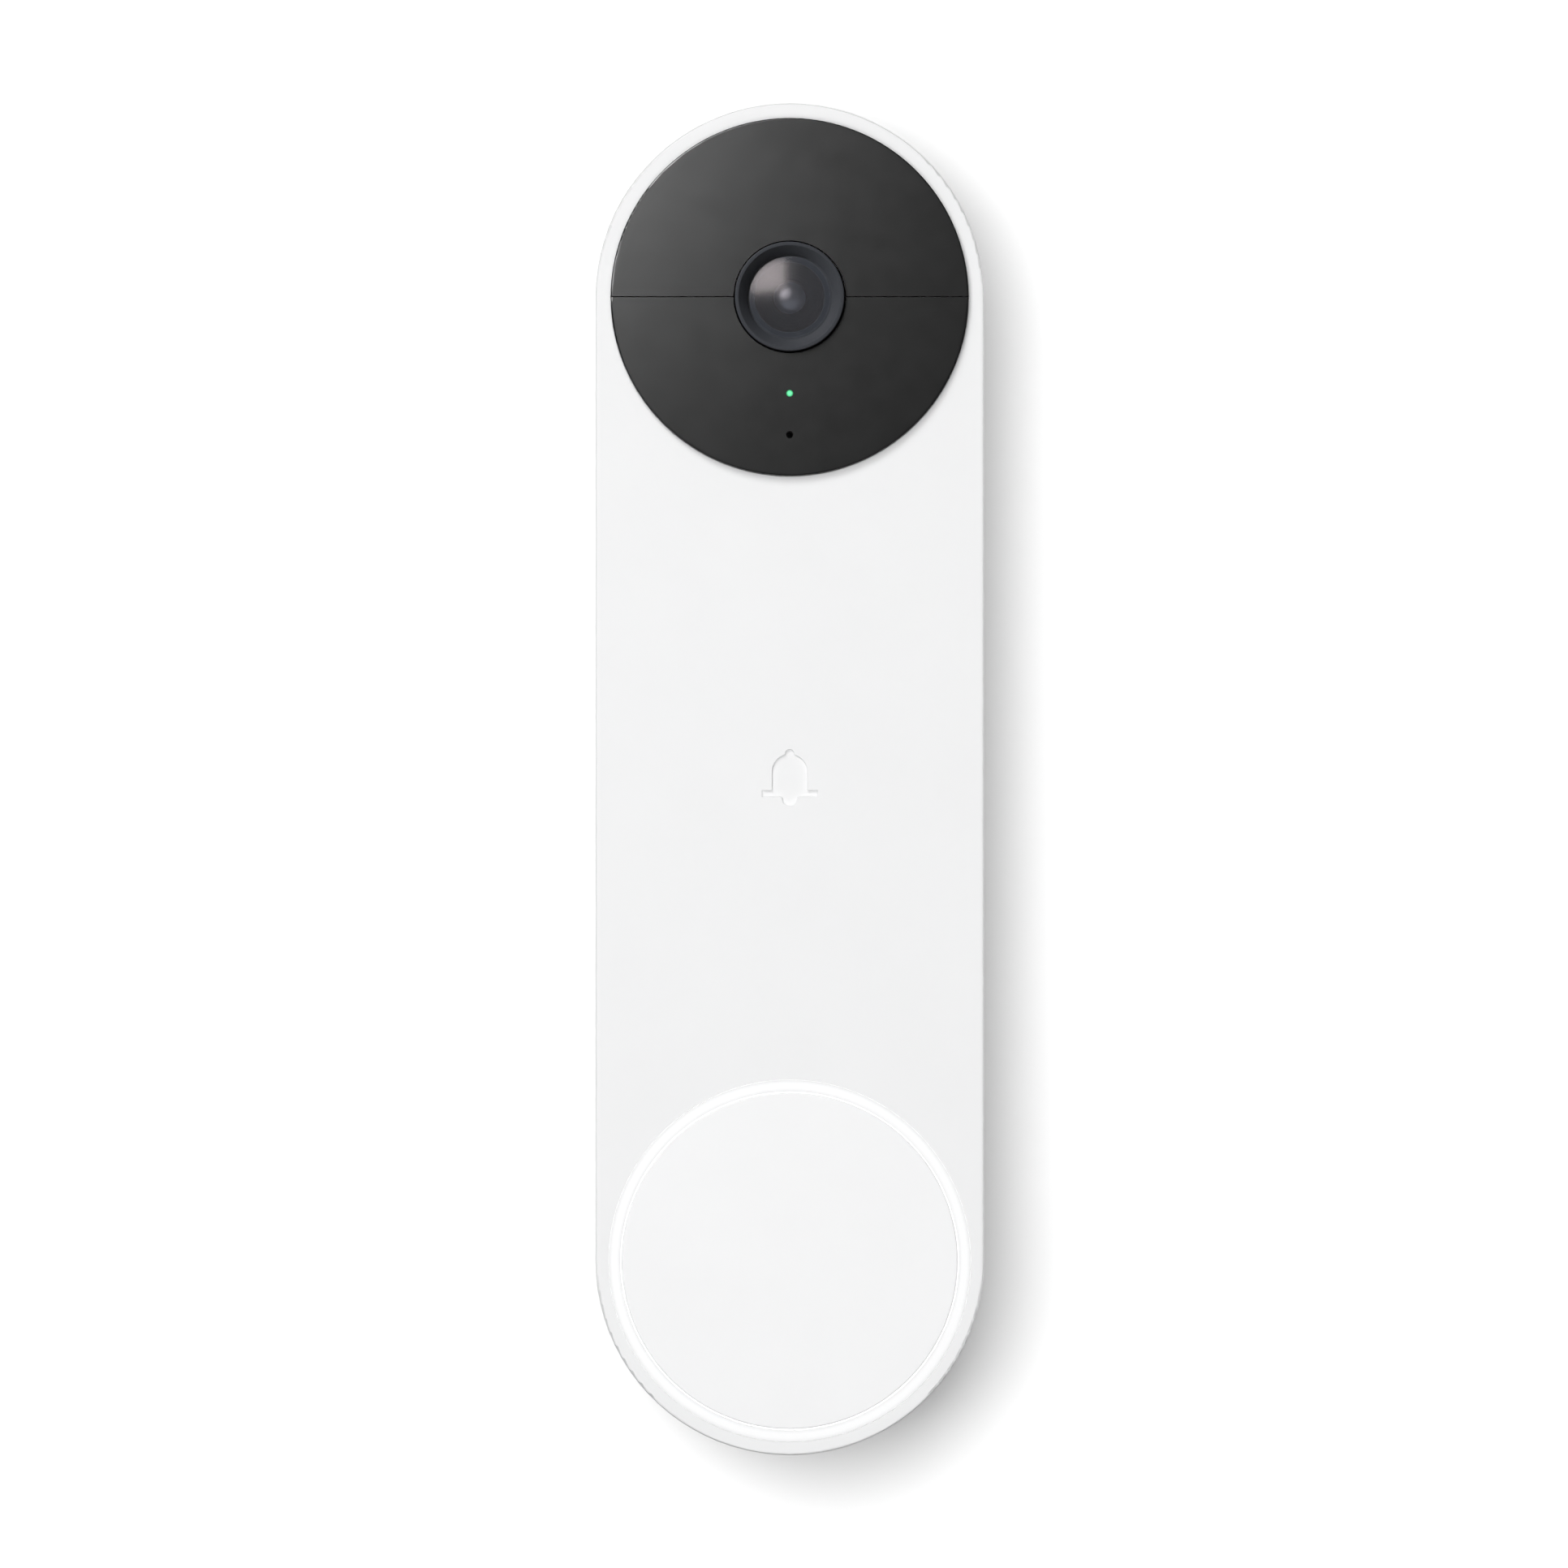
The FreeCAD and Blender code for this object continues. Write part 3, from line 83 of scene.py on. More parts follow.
def add_node(tree, kind, inputs=None, **settings):
    """A shader node with its inputs set or linked, and its other settings."""
    node = tree.nodes.new("ShaderNode" + kind)
    for name, value in settings.items():
        setattr(node, name, value)
    for socket, value in (inputs or {}).items():
        if isinstance(value, bpy.types.NodeSocket):
            tree.links.new(value, node.inputs[socket])
        else:
            node.inputs[socket].default_value = value
    return node


def noise(tree, where, size, detail=3.0):
    """Noise from 0 to 1 whose features are about size metres across."""
    node = add_node(tree, "TexNoise", {"Vector": where, "Scale": 1 / size, "Detail": detail})
    return node.outputs["Fac"]


def spread(tree, value, low, high, start=0.3, end=0.7):
    """Maps a noise value from its usual span to low..high."""
    node = add_node(tree, "MapRange", {
        "Value": value, "From Min": start, "From Max": end, "To Min": low, "To Max": high})
    return node.outputs["Result"]


def math_node(tree, operation, first, second=0.0):
    return add_node(tree, "Math", {0: first, 1: second}, operation=operation).outputs[0]


def stretched(tree, where, scale):
    return add_node(tree, "VectorMath", {0: where, 1: scale}, operation="MULTIPLY").outputs[0]


def axis_distance(tree, where, x, z):
    """How far a point is from a line along the depth."""
    away = add_node(tree, "VectorMath", {0: where, 1: (x, 0.0, z)}, operation="SUBTRACT")
    flat = stretched(tree, away.outputs[0], (1.0, 0.0, 1.0))
    return add_node(tree, "VectorMath", {0: flat}, operation="LENGTH").outputs["Value"]


def mixed(tree, factor, first, second):
    """The first colour where factor is 0, and the second where it is 1."""
    inputs = {0: factor, 6: (*first, 1.0), 7: (*second, 1.0)}
    return add_node(tree, "Mix", inputs, data_type="RGBA").outputs[2]


class Finish:
    """A Principled material built from layers of noise in the object's own coordinates."""

    def __init__(self, name, **constants):
        self.slot = name
        self.material = bpy.data.materials.new(name)
        self.material.use_nodes = True
        self.tree = self.material.node_tree
        self.shader = self.tree.nodes["Principled BSDF"]
        self.where = add_node(self.tree, "TexCoord").outputs["Object"]
        self.normal = None
        for socket, value in constants.items():
            self.shader.inputs[socket.replace("_", " ")].default_value = value

    def colour(self, base, shade=0.04, size=4 * MM, tint=(1.0, 1.0, 1.0)):
        """Base colour, darkened and tinted a little in soft patches."""
        factor = spread(self.tree, noise(self.tree, self.where, size), 0.0, 1.0)
        dark = [part * (1 - shade) * hue for part, hue in zip(base, tint)]
        return self.colour_from(mixed(self.tree, factor, base, dark))

    def colour_from(self, value):
        self.tree.links.new(value, self.shader.inputs["Base Color"])
        return self

    def roughness(self, middle, spread_by=0.05, size=1.5 * MM, where=None):
        """Roughness that varies by spread_by in patches."""
        patches = noise(self.tree, where or self.where, size)
        value = spread(self.tree, patches, middle - spread_by, middle + spread_by)
        self.tree.links.new(value, self.shader.inputs["Roughness"])
        return self

    def bump(self, height, size, detail=2.0, where=None):
        """Adds grain of a height and size. Several calls lie on top of each other."""
        grain = noise(self.tree, where or self.where, size, detail)
        return self.bump_from(grain, height)

    def bump_from(self, value, height):
        """Adds relief from a node's value."""
        inputs = {"Height": value, "Distance": height, "Strength": 1.0}
        if self.normal is not None:
            inputs["Normal"] = self.normal
        self.normal = add_node(self.tree, "Bump", inputs).outputs["Normal"]
        self.tree.links.new(self.normal, self.shader.inputs["Normal"])
        return self

    def glow(self, colour, strength):
        """Light given off, as strong as a node's value."""
        self.shader.inputs["Emission Color"].default_value = (*colour, 1.0)
        self.tree.links.new(strength, self.shader.inputs["Emission Strength"])
        return self


# The ring's glow: the ring's own light on the ring, and a painted glow on the white plastic beside it and in
# the gaps at its sides.
GLOW_RADIUS = ring.radius - 0.7 * MM
GLOW_INNER, GLOW_OUTER = 0.1 * MM, 0.9 * MM
GAP_REACH = 1.1 * MM
PAINTED_GAP_GLOW = 0.34
SURFACE_DEPTH = FACE - 0.25 * MM


def ring_and_painted_glow(finish, strength):
    """The ring's glow, fading with distance from its middle: its own light on the diffuser, and a painted
    glow on the white plastic beside it. The sunk surfaces in the gaps at its sides get an even painted glow,
    where they would be in shade.
    """
    tree = finish.tree
    radius = axis_distance(tree, finish.where, 0.0, BUTTON_Z)
    offset = math_node(tree, "ABSOLUTE", math_node(tree, "SUBTRACT", radius, GLOW_RADIUS))
    near = add_node(tree, "MapRange", {
        "Value": offset, "From Min": GLOW_INNER, "From Max": GLOW_OUTER, "To Min": 1.0, "To Max": 0.0},
        interpolation_type="SMOOTHERSTEP").outputs["Result"]
    y = add_node(tree, "SeparateXYZ", {0: finish.where}).outputs["Y"]
    front = math_node(tree, "LESS_THAN", y, -SURFACE_DEPTH)
    surface = math_node(tree, "MULTIPLY", math_node(tree, "MULTIPLY", near, front), strength)
    # an even painted glow on sunk surfaces in the gaps, where they would be in shade
    sunk = math_node(tree, "MULTIPLY", math_node(tree, "SUBTRACT", 1.0, front), PAINTED_GAP_GLOW)
    gap = math_node(tree, "MULTIPLY", sunk, math_node(tree, "LESS_THAN", offset, GAP_REACH))
    return finish.glow((1.0, 1.0, 1.0), math_node(tree, "ADD", surface, gap))


def moulded(name, base, roughness, grain=0.004 * MM, grain_size=0.12 * MM, shade=0.03, waves=0.006 * MM,
            vary=0.04, **constants):
    """Injection-moulded plastic: fine spark-eroded grain, slow waves of shrinkage, patches of handling."""
    finish = Finish(name, **constants)
    finish.colour(base, shade, 9 * MM)
    finish.roughness(roughness, vary, 2.2 * MM)
    finish.bump(waves, 14 * MM, 1.0)
    finish.bump(grain, grain_size)
    return finish


def plated(name, base, roughness, streak=(1.0, 1.0, 18.0), shade=0.12, **constants):
    """Sheet metal or plating with drawn streaks and dull spots."""
    finish = Finish(name, Metallic=1.0, **constants)
    along = stretched(finish.tree, finish.where, streak)
    finish.colour(base, shade, 1.6 * MM, (1.0, 0.98, 0.94))
    finish.roughness(roughness, 0.08, 0.8 * MM, along)
    finish.bump(0.003 * MM, 0.5 * MM, 3.0, along)
    return finish


def white_with_ring_glow(name, base, roughness, grain, glow_strength):
    """White plastic with the ring's glow: the ring's own light on the diffuser, and a painted glow on the
    shell and the cap beside it.
    """
    return ring_and_painted_glow(moulded(name, base, roughness, grain, shade=0.012, Specular_IOR_Level=0.3), glow_strength)


def pipe_glow():
    """Green light that is brightest on the pipe's axis and fades towards its wall."""
    finish = led_resin("status_pipe", (0.03, 0.10, 0.07))
    radius = axis_distance(finish.tree, finish.where, pipe.x, pipe.z)
    return finish.glow((0.16, 1.0, 0.42), spread(finish.tree, radius, 1.3, 0.05, 0.15 * MM, 0.44 * MM))


def lens_glass():
    """Clear glass under a coating that spreads what it mirrors."""
    finish = Finish("lens_glass", Transmission_Weight=1.0, IOR=1.1, Coat_Weight=1.0, Coat_IOR=1.75,
                    Coat_Roughness=0.25)
    finish.colour((0.86, 0.90, 0.98), 0.04, 6 * MM)
    finish.roughness(0.02, 0.01, 3 * MM)
    finish.bump(0.0001 * MM, 0.6 * MM)
    return finish


def filter_glass():
    """Blue-green glass that holds back infrared light."""
    finish = Finish("filter_glass", Transmission_Weight=0.8, IOR=1.5)
    finish.colour((0.45, 0.72, 0.80), 0.1, 3 * MM, (0.9, 1.0, 1.05))
    finish.roughness(0.06, 0.03)
    finish.bump(0.0005 * MM, 0.8 * MM)
    return finish


def sensor_chip():
    """Silicon under micro-lenses, in a fine grid."""
    finish = Finish("sensor_chip", Metallic=0.5, Coat_Weight=1.0, Coat_Roughness=0.05)
    finish.colour((0.07, 0.08, 0.13), 0.35, 2 * MM, (1.2, 0.8, 1.2))
    finish.roughness(0.3, 0.05)
    cells = add_node(finish.tree, "TexVoronoi", {"Vector": finish.where, "Scale": 1 / (0.09 * MM)})
    return finish.bump_from(cells.outputs["Distance"], 0.004 * MM)


def led_resin(name, base):
    """Cast resin with a smooth skin."""
    finish = Finish(name, Coat_Weight=0.6, Coat_Roughness=0.08, Subsurface_Weight=0.1)
    finish.colour(base, 0.12, 0.7 * MM)
    finish.roughness(0.22, 0.06, 0.5 * MM)
    finish.bump(0.002 * MM, 0.25 * MM)
    return finish


def circuit_board():
    """Green solder mask over copper tracks, laid out like courses of bricks."""
    finish = Finish("circuit_board", Coat_Weight=0.4, Coat_Roughness=0.2)
    tree = finish.tree
    turned = add_node(tree, "VectorRotate", {"Vector": finish.where, "Angle": radians(90)},
                      rotation_type="X_AXIS")
    lanes = add_node(tree, "TexBrick", {
        "Vector": turned.outputs[0], "Scale": 1.0, "Mortar Size": 0.12 * MM,
        "Brick Width": 3.4 * MM, "Row Height": 0.9 * MM, "Mortar Smooth": 0.2})
    finish.colour_from(mixed(tree, lanes.outputs["Fac"], (0.012, 0.075, 0.035), (0.03, 0.19, 0.08)))
    finish.roughness(0.35, 0.06)
    finish.bump_from(lanes.outputs["Fac"], 0.02 * MM)
    finish.bump(0.003 * MM, 0.3 * MM)
    return finish


def ribbon_film():
    """Amber polyimide film with tracks that run along it."""
    finish = Finish("ribbon", Coat_Weight=0.5, Coat_Roughness=0.12)
    tree = finish.tree
    across = add_node(tree, "SeparateXYZ", {0: finish.where}).outputs["X"]
    wave = math_node(tree, "SINE", math_node(tree, "MULTIPLY", across, 2 * pi / (0.8 * MM)))
    track = spread(tree, wave, 0.0, 1.0, -0.1, 0.1)
    finish.colour_from(mixed(tree, track, (0.42, 0.17, 0.025), (0.62, 0.30, 0.06)))
    finish.roughness(0.28, 0.05)
    finish.bump_from(track, 0.01 * MM)
    finish.bump(0.004 * MM, 1.2 * MM)
    return finish


def battery_wrap():
    """Soft laminated pouch: faintly creased, with a satin metal sheen."""
    finish = Finish("battery_wrap", Metallic=0.55)
    finish.colour((0.13, 0.21, 0.34), 0.18, 12 * MM)
    finish.roughness(0.38, 0.08, 3 * MM)
    finish.bump(0.06 * MM, 7 * MM, 3.0)
    finish.bump(0.004 * MM, 0.3 * MM)
    return finish


WHITE = (0.83, 0.832, 0.835)

MOULDED = {
    "rear_shell": dict(base=(0.76, 0.762, 0.765), roughness=0.55),
    "wall_plate_plastic": dict(base=(0.62, 0.62, 0.61), roughness=0.62, grain=0.006 * MM),
    "camera_cover": dict(base=(0.003, 0.003, 0.0032), roughness=0.348, grain=0.0002 * MM,
                         grain_size=0.08 * MM, shade=0.15, waves=0.0004 * MM, vary=0.012),
    "bezel_black": dict(base=(0.0075, 0.0080, 0.0092), roughness=0.45, grain=0.0002 * MM,
                        grain_size=0.08 * MM, shade=0.1, waves=0.0004 * MM, vary=0.012),
    "barrel_black": dict(base=(0.0035, 0.0042, 0.0060), roughness=0.7, grain=0.0005 * MM),
    "black_plastic": dict(base=(0.028, 0.028, 0.03), roughness=0.5, shade=0.2),
    "seal_rubber": dict(base=(0.035, 0.035, 0.036), roughness=0.75, grain=0.008 * MM,
                        grain_size=0.2 * MM, shade=0.25),
    "plunger_plastic": dict(base=(0.16, 0.16, 0.16), roughness=0.45),
    "reset_plastic": dict(base=(0.22, 0.22, 0.23), roughness=0.5),
    "cone_film": dict(base=(0.07, 0.07, 0.07), roughness=0.6, grain=0.006 * MM, grain_size=0.3 * MM,
                      shade=0.2),
}
PLATED = {
    "antenna_copper": dict(base=(0.78, 0.44, 0.24), roughness=0.32),
    "shield_metal": dict(base=(0.68, 0.68, 0.66), roughness=0.34),
    "screw_steel": dict(base=(0.56, 0.57, 0.58), roughness=0.3),
    "spring_steel": dict(base=(0.63, 0.64, 0.66), roughness=0.24, streak=(16.0, 1.0, 1.0)),
    "terminal_steel": dict(base=(0.66, 0.66, 0.63), roughness=0.26),
    "terminal_brass": dict(base=(0.74, 0.55, 0.26), roughness=0.28, streak=(18.0, 1.0, 18.0)),
    "magnet_steel": dict(base=(0.42, 0.42, 0.43), roughness=0.22),
    "mesh_steel": dict(base=(0.10, 0.10, 0.10), roughness=0.4),
}


def make_materials():
    finishes = [moulded(slot, **look) for slot, look in MOULDED.items()]
    finishes += [plated(slot, **look) for slot, look in PLATED.items()]
    finishes += [
        # the shell and the cap get a painted glow beside the ring; the diffuser's glow is the ring's own
        # light
        white_with_ring_glow("white_shell", WHITE, 0.42, 0.0015 * MM, 0.12),
        white_with_ring_glow("button_white", (0.87, 0.872, 0.875), 0.40, 0.0012 * MM, 0.12),
        white_with_ring_glow("light_diffuser", WHITE, 0.35, 0.001 * MM, 0.13),
        led_resin("infrared_led", (0.05, 0.035, 0.06)),
        led_resin("white_led", (0.85, 0.80, 0.52)),
        pipe_glow(),
        lens_glass(),
        filter_glass(),
        sensor_chip(),
        circuit_board(),
        ribbon_film(),
        battery_wrap(),
    ]
    return {finish.slot: finish.material for finish in finishes}


materials = make_materials()
pieces = dict(nodes)


def paint(piece, slot):
    """Gives a piece the material of a slot."""
    piece.data.materials.clear()
    piece.data.materials.append(materials[slot])
    return piece


def soften(piece, width):
    """Rounds the crisp edges of a CAD solid, as a mould or a punch leaves them."""
    piece.modifiers.new("weld", "WELD").merge_threshold = 1e-6
    flatten = piece.modifiers.new("flatten", "DECIMATE")
    flatten.decimate_type = "DISSOLVE"
    flatten.angle_limit = radians(1.0)
    edge = piece.modifiers.new("edge", "BEVEL")
    edge.width = width
    edge.segments = 2
    edge.limit_method = "ANGLE"
    edge.angle_limit = radians(35)
    edge.use_clamp_overlap = True
    piece.modifiers.new("normals", "WEIGHTED_NORMAL").keep_sharp = False


# ---- mesh building: points are (x, depth, z) ----

FINE, SOFT = 0.05 * MM, 0.1 * MM    # the radii of most edges


def blended(corners, closed=True, steps=4):
    """A line through (a, b, radius) corners, with each corner rounded by its radius."""
    line = []
    last = len(corners) - 1
    for k, (a, b, radius) in enumerate(corners):
        if radius == 0.0 or (not closed and k in (0, last)):
            line.append((a, b))
            continue
        here = Vector((a, b))
        before = Vector(corners[k - 1][:2]) - here
        after = Vector(corners[0 if k == last else k + 1][:2]) - here
        reach = min(radius / tan(before.angle(after) / 2), before.length * 0.49, after.length * 0.49)
        start, end = here + before.normalized() * reach, here + after.normalized() * reach
        for step in range(steps + 1):
            part = step / steps
            line.append(tuple(start.lerp(here, part).lerp(here.lerp(end, part), part)))
    return line


def rounded_rectangle(width, height, corner, steps=5):
    """The outline of a rectangle about the origin, anticlockwise."""
    points = []
    for quarter, (right, up) in enumerate(((1, 1), (-1, 1), (-1, -1), (1, -1))):
        for step in range(steps + 1):
            angle = (quarter + step / steps) * pi / 2
            points.append((right * (width / 2 - corner) + corner * cos(angle),
                           up * (height / 2 - corner) + corner * sin(angle)))
    return points


def around(count, start=0.0):
    """Evenly spaced angles all the way round."""
    return [start + 2 * pi * k / count for k in range(count)]


def heading(path, k):
    """The direction of a path at its point k."""
    return (Vector(path[min(k + 1, len(path) - 1)]) - Vector(path[max(k - 1, 0)])).normalized()


class Shape:
    """A mesh under construction."""

    def __init__(self):
        self.mesh = bmesh.new()

    def ring(self, points):
        """New vertices at the points, which may be a single one."""
        return [self.mesh.verts.new((x, -depth, z)) for x, depth, z in points]

    def bridge(self, first, second):
        """Faces from one ring to the next."""
        for k in range(max(len(first), len(second))):
            corners = (first[k % len(first)], first[(k + 1) % len(first)],
                       second[(k + 1) % len(second)], second[k % len(second)])
            corners = list(dict.fromkeys(corners))
            if len(corners) > 2:
                self.mesh.faces.new(corners)

    def stack(self, rings):
        """A closed solid skinned over a row of rings."""
        for first, second in zip(rings, rings[1:]):
            self.bridge(first, second)
        self.mesh.faces.new(rings[0])
        self.mesh.faces.new(rings[-1])
        return self

    def lathe(self, profile, x=0.0, z=0.0, steps=96):
        """Turns (radius, depth) points about an axis along the depth. A radius may be a function of angle.
        The profile starts and ends on the axis, or else it is a closed loop."""
        rings = []
        for radius, depth in profile:
            if radius == 0.0:
                rings.append(self.ring([(x, depth, z)]))
                continue
            circle = []
            for angle in around(steps):
                reach = radius(angle) if callable(radius) else radius
                circle.append((x + reach * cos(angle), depth, z + reach * sin(angle)))
            rings.append(self.ring(circle))
        for first, second in zip(rings, rings[1:]):
            self.bridge(first, second)
        if len(rings[0]) > 1:
            self.bridge(rings[-1], rings[0])
        return self

    def slab(self, x, z, width, height, rear, front, corner, edge, turn=0.0):
        """A plate with rounded corners and soft edges."""
        corner = max(corner, 1.5 * edge)
        layers = ((edge, rear), (0.3 * edge, rear + 0.3 * edge), (0.0, rear + edge),
                  (0.0, front - edge), (0.3 * edge, front - 0.3 * edge), (edge, front))
        rings = []
        for inset, depth in layers:
            outline = rounded_rectangle(width - 2 * inset, height - 2 * inset, corner - inset)
            rings.append(self.ring([(x + a * cos(turn) - b * sin(turn), depth,
                                     z + a * sin(turn) + b * cos(turn)) for a, b in outline]))
        return self.stack(rings)

    def block(self, box, corner, edge):
        """A slab that fills the box of a CAD node."""
        return self.slab(box.x, box.z, box.width, box.height, box.rear, box.front, corner, edge)

    def strip(self, path, x, width, thick):
        """A flat strip, wide along X, whose middle line follows (depth, z) points."""
        rings = []
        half, level, trim = width / 2, thick / 2, thick / 4
        section = ((trim - half, -level), (half - trim, -level), (half, trim - level), (half, level - trim),
                   (half - trim, level), (trim - half, level), (-half, level - trim), (-half, trim - level))
        for k, (depth, z) in enumerate(path):
            along = heading(path, k)
            rings.append(self.ring([(x + a, depth - along.y * b, z + along.x * b) for a, b in section]))
        return self.stack(rings)

    def wire(self, path, radius, side, sides=6):
        """A round wire through (x, depth, z) points. side is a direction across the wire."""
        rings = []
        for k, point in enumerate(path):
            along = heading(path, k)
            over = along.cross(Vector(side)).normalized()
            out = over.cross(along)
            rings.append(self.ring([Vector(point) + (over * cos(a) + out * sin(a)) * radius
                                    for a in around(sides)]))
        return self.stack(rings)

    def thread(self, x, z, core, crest, rear, front, pitch, steps=48):
        """A screw shank: a helical ridge between core and crest radius, that runs out at its front end."""
        rows = max(8, int((front - rear) / pitch * 8))
        rings = []
        for row in range(rows + 1):
            depth = rear + (front - rear) * row / rows
            fade = min(1.0, (front - depth) / (1.5 * pitch) + 0.05)
            ring = []
            for angle in around(steps):
                phase = (depth / pitch - angle / (2 * pi)) % 1.0
                ridge = max(0.0, 1 - abs(phase - 0.5) * 2.6)
                radius = core * (0.75 + 0.25 * fade) + (crest - core) * ridge * fade
                ring.append((x + radius * cos(angle), depth, z + radius * sin(angle)))
            rings.append(self.ring(ring))
        return self.stack(rings)

    def piece(self, name, slot, *replaced, body="unit", sharp=38):
        """Ends the mesh as a piece of that name, which rides on a body and may stand for CAD nodes."""
        bmesh.ops.recalc_face_normals(self.mesh, faces=self.mesh.faces)
        data = bpy.data.meshes.new(name)
        self.mesh.to_mesh(data)
        self.mesh.free()
        data.shade_smooth()
        data.set_sharp_from_angle(angle=radians(sharp))
        made = bpy.data.objects.new(name, data)
        scene.collection.objects.link(made)
        paint(made, slot)
        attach(made, body)
        if replaced:
            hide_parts(*replaced)
        pieces[name] = made
        return made


def rays_in(half_length, half_width):
    """How far a rectangle reaches from its middle, as a function of angle."""
    def reach(angle):
        across, up = max(abs(cos(angle)), 1e-6), max(abs(sin(angle)), 1e-6)
        return min(half_length / across, half_width / up)
    return reach


def cross_recess(length, width):
    """How far a cross of two bars reaches from its middle."""
    flat = rays_in(length, width)
    tall = rays_in(width, length)
    return lambda angle: max(flat(angle), tall(angle))


def scaled(reach, factor):
    return lambda angle: reach(angle) * factor


SLOT_OF = {part["node"]: part["material_slot"] for part in frame["record"]["subparts"]}
for name, node in nodes.items():
    paint(node, SLOT_OF[name])

SOFT_EDGES = {
    "front_housing": 0.03, "rear_housing": 0.12, "wall_plate": 0.12, "upper_disc_cover": 0.10,
    "lower_disc_cover": 0.16, "light_ring": 0.05, "button_cap": 0.08, "chassis": 0.08,
    "camera_housing": 0.08,
}
for name, width in SOFT_EDGES.items():
    soften(nodes[name], width * MM)


# ---- camera module ----

BEZEL_RADIUS = 6.47 * MM
BEZEL_MOUTH = 6.05 * MM
WINDOW_EDGE = 22.9 * MM
GROOVE = 0.17 * MM
LENS_GAP = 0.05 * MM
LENS_BULGE = 1.9 * MM
APERTURE = 1.85 * MM
BARREL_BORE = 2.4 * MM
BAFFLE_STEPS = 7


def dome(radius, rear, edge, front, chamfer=0.12 * MM, steps=20):
    """The profile of a glass with a flat rear, a straight side up to edge, and a spherical front."""
    rise = front - edge
    sphere = (radius * radius + rise * rise) / (2 * rise)
    profile = [(0.0, rear), (radius - chamfer, rear), (radius, rear + chamfer)]
    for step in range(steps):
        reach = radius * (1 - step / steps)
        profile.append((reach, front - sphere + sqrt(sphere * sphere - reach * reach)))
    return profile + [(0.0, front)]


def camera():
    """The bezel, the window, the two lens elements and the barrel that holds them."""
    seat = window.radius + LENS_GAP
    room = barrel.radius + LENS_GAP
    bore = window.radius - 0.7 * MM
    flange = bezel.rear + 1 * MM
    groove_floor = WINDOW_EDGE - 0.25 * MM
    profile = blended([
        (room, bezel.rear, 0.0), (bezel.radius, bezel.rear, SOFT), (bezel.radius, flange, 0.15 * MM),
        (BEZEL_RADIUS, flange, SOFT), (BEZEL_RADIUS, bezel.front, 0.25 * MM),
        (BEZEL_MOUTH, bezel.front - 0.01 * MM, 0.04 * MM), (seat + GROOVE, WINDOW_EDGE, 0.04 * MM),
        (seat + GROOVE, groove_floor, 0.0), (seat, groove_floor, 0.0), (seat, window.rear, 0.0),
        (bore, window.rear, FINE), (bore, barrel.front + LENS_GAP, FINE),
        (room, barrel.front + LENS_GAP, 0.0)])
    Shape().lathe(profile, z=LENS_Z, steps=192).piece("bezel_ring", "bezel_black", "lens_bezel", sharp=50)
    profile = dome(window.radius, window.rear, WINDOW_EDGE, window.front)
    glass = Shape().lathe(profile, z=LENS_Z, steps=160).piece("window_glass", "lens_glass", "lens_window")
    glass.visible_shadow = False
    front, rear = Place("front_lens"), Place("rear_lens")
    shoulder = front.front - 1.0 * MM
    side = [(0.0, front.rear), (front.radius - 0.1 * MM, front.rear), (front.radius, front.rear + 0.1 * MM),
            (front.radius, shoulder - 0.1 * MM), (front.radius - 0.1 * MM, shoulder)]
    Shape().lathe(side + dome(LENS_BULGE, front.rear, shoulder, front.front)[3:], z=LENS_Z).piece(
        "front_element", "lens_glass", "front_lens")
    Shape().lathe(dome(rear.radius, rear.rear, rear.rear + 1.2 * MM, rear.front), z=LENS_Z).piece(
        "rear_element", "lens_glass", "rear_lens")
    lip = front.front - 0.18 * MM
    baffle = [(APERTURE, lip)]
    for step in range(BAFFLE_STEPS):
        reach = APERTURE + (barrel.radius - 0.4 * MM - APERTURE) * (step + 0.5) / BAFFLE_STEPS
        rise = lip + 0.08 * MM + (barrel.front - lip - 0.12 * MM) * step / BAFFLE_STEPS
        baffle += [(reach - 0.02 * MM, rise), (reach + 0.02 * MM, rise + 0.04 * MM)]
    tube = [(BARREL_BORE, barrel.rear), (barrel.radius, barrel.rear), (barrel.radius, barrel.front)]
    front_seat, rear_seat = front.radius + LENS_GAP, rear.radius + LENS_GAP
    inside = [(front_seat, lip), (front_seat, front.rear), (rear_seat, front.rear), (rear_seat, rear.rear),
              (BARREL_BORE, rear.rear)]
    Shape().lathe(tube + baffle[::-1] + inside, z=LENS_Z).piece(
        "barrel_tube", "barrel_black", "lens_barrel")


# ---- fasteners and springs ----

PHILLIPS = cross_recess(1.1 * MM, 0.28 * MM)
SLOT = rays_in(2.5 * MM, 0.4 * MM)
TERMINAL_HEAD = 6.25 * MM
SPRING_TOP = 69.0 * MM
SPRING_TIP = 6.1 * MM
BUTTON_FLEX_TURN = -36.1 * MM


def slot_and_cross(angle):
    return max(SLOT(angle), PHILLIPS(angle) * 1.2)


def screw_head(shape, x, z, radius, rear, front, recess, deep, narrow=0.75):
    """A domed head whose recess opens to the rear."""
    rise = (front - rear) * 0.35
    profile = [(0.0, rear + deep), (scaled(recess, narrow * 0.7), rear + deep),
               (scaled(recess, narrow), rear + deep * 0.7), (recess, rear + 0.02 * MM),
               (scaled(recess, 1.06), rear)]
    rim = blended([(radius * 0.72, rear, 0.0), (radius * 0.9, rear + rise * 0.25, 0.2 * MM),
                   (radius, rear + rise, SOFT), (radius, front, FINE), (radius * 0.5, front, 0.0)], False)
    shape.lathe(profile + rim + [(0.0, front)], x, z, 72)


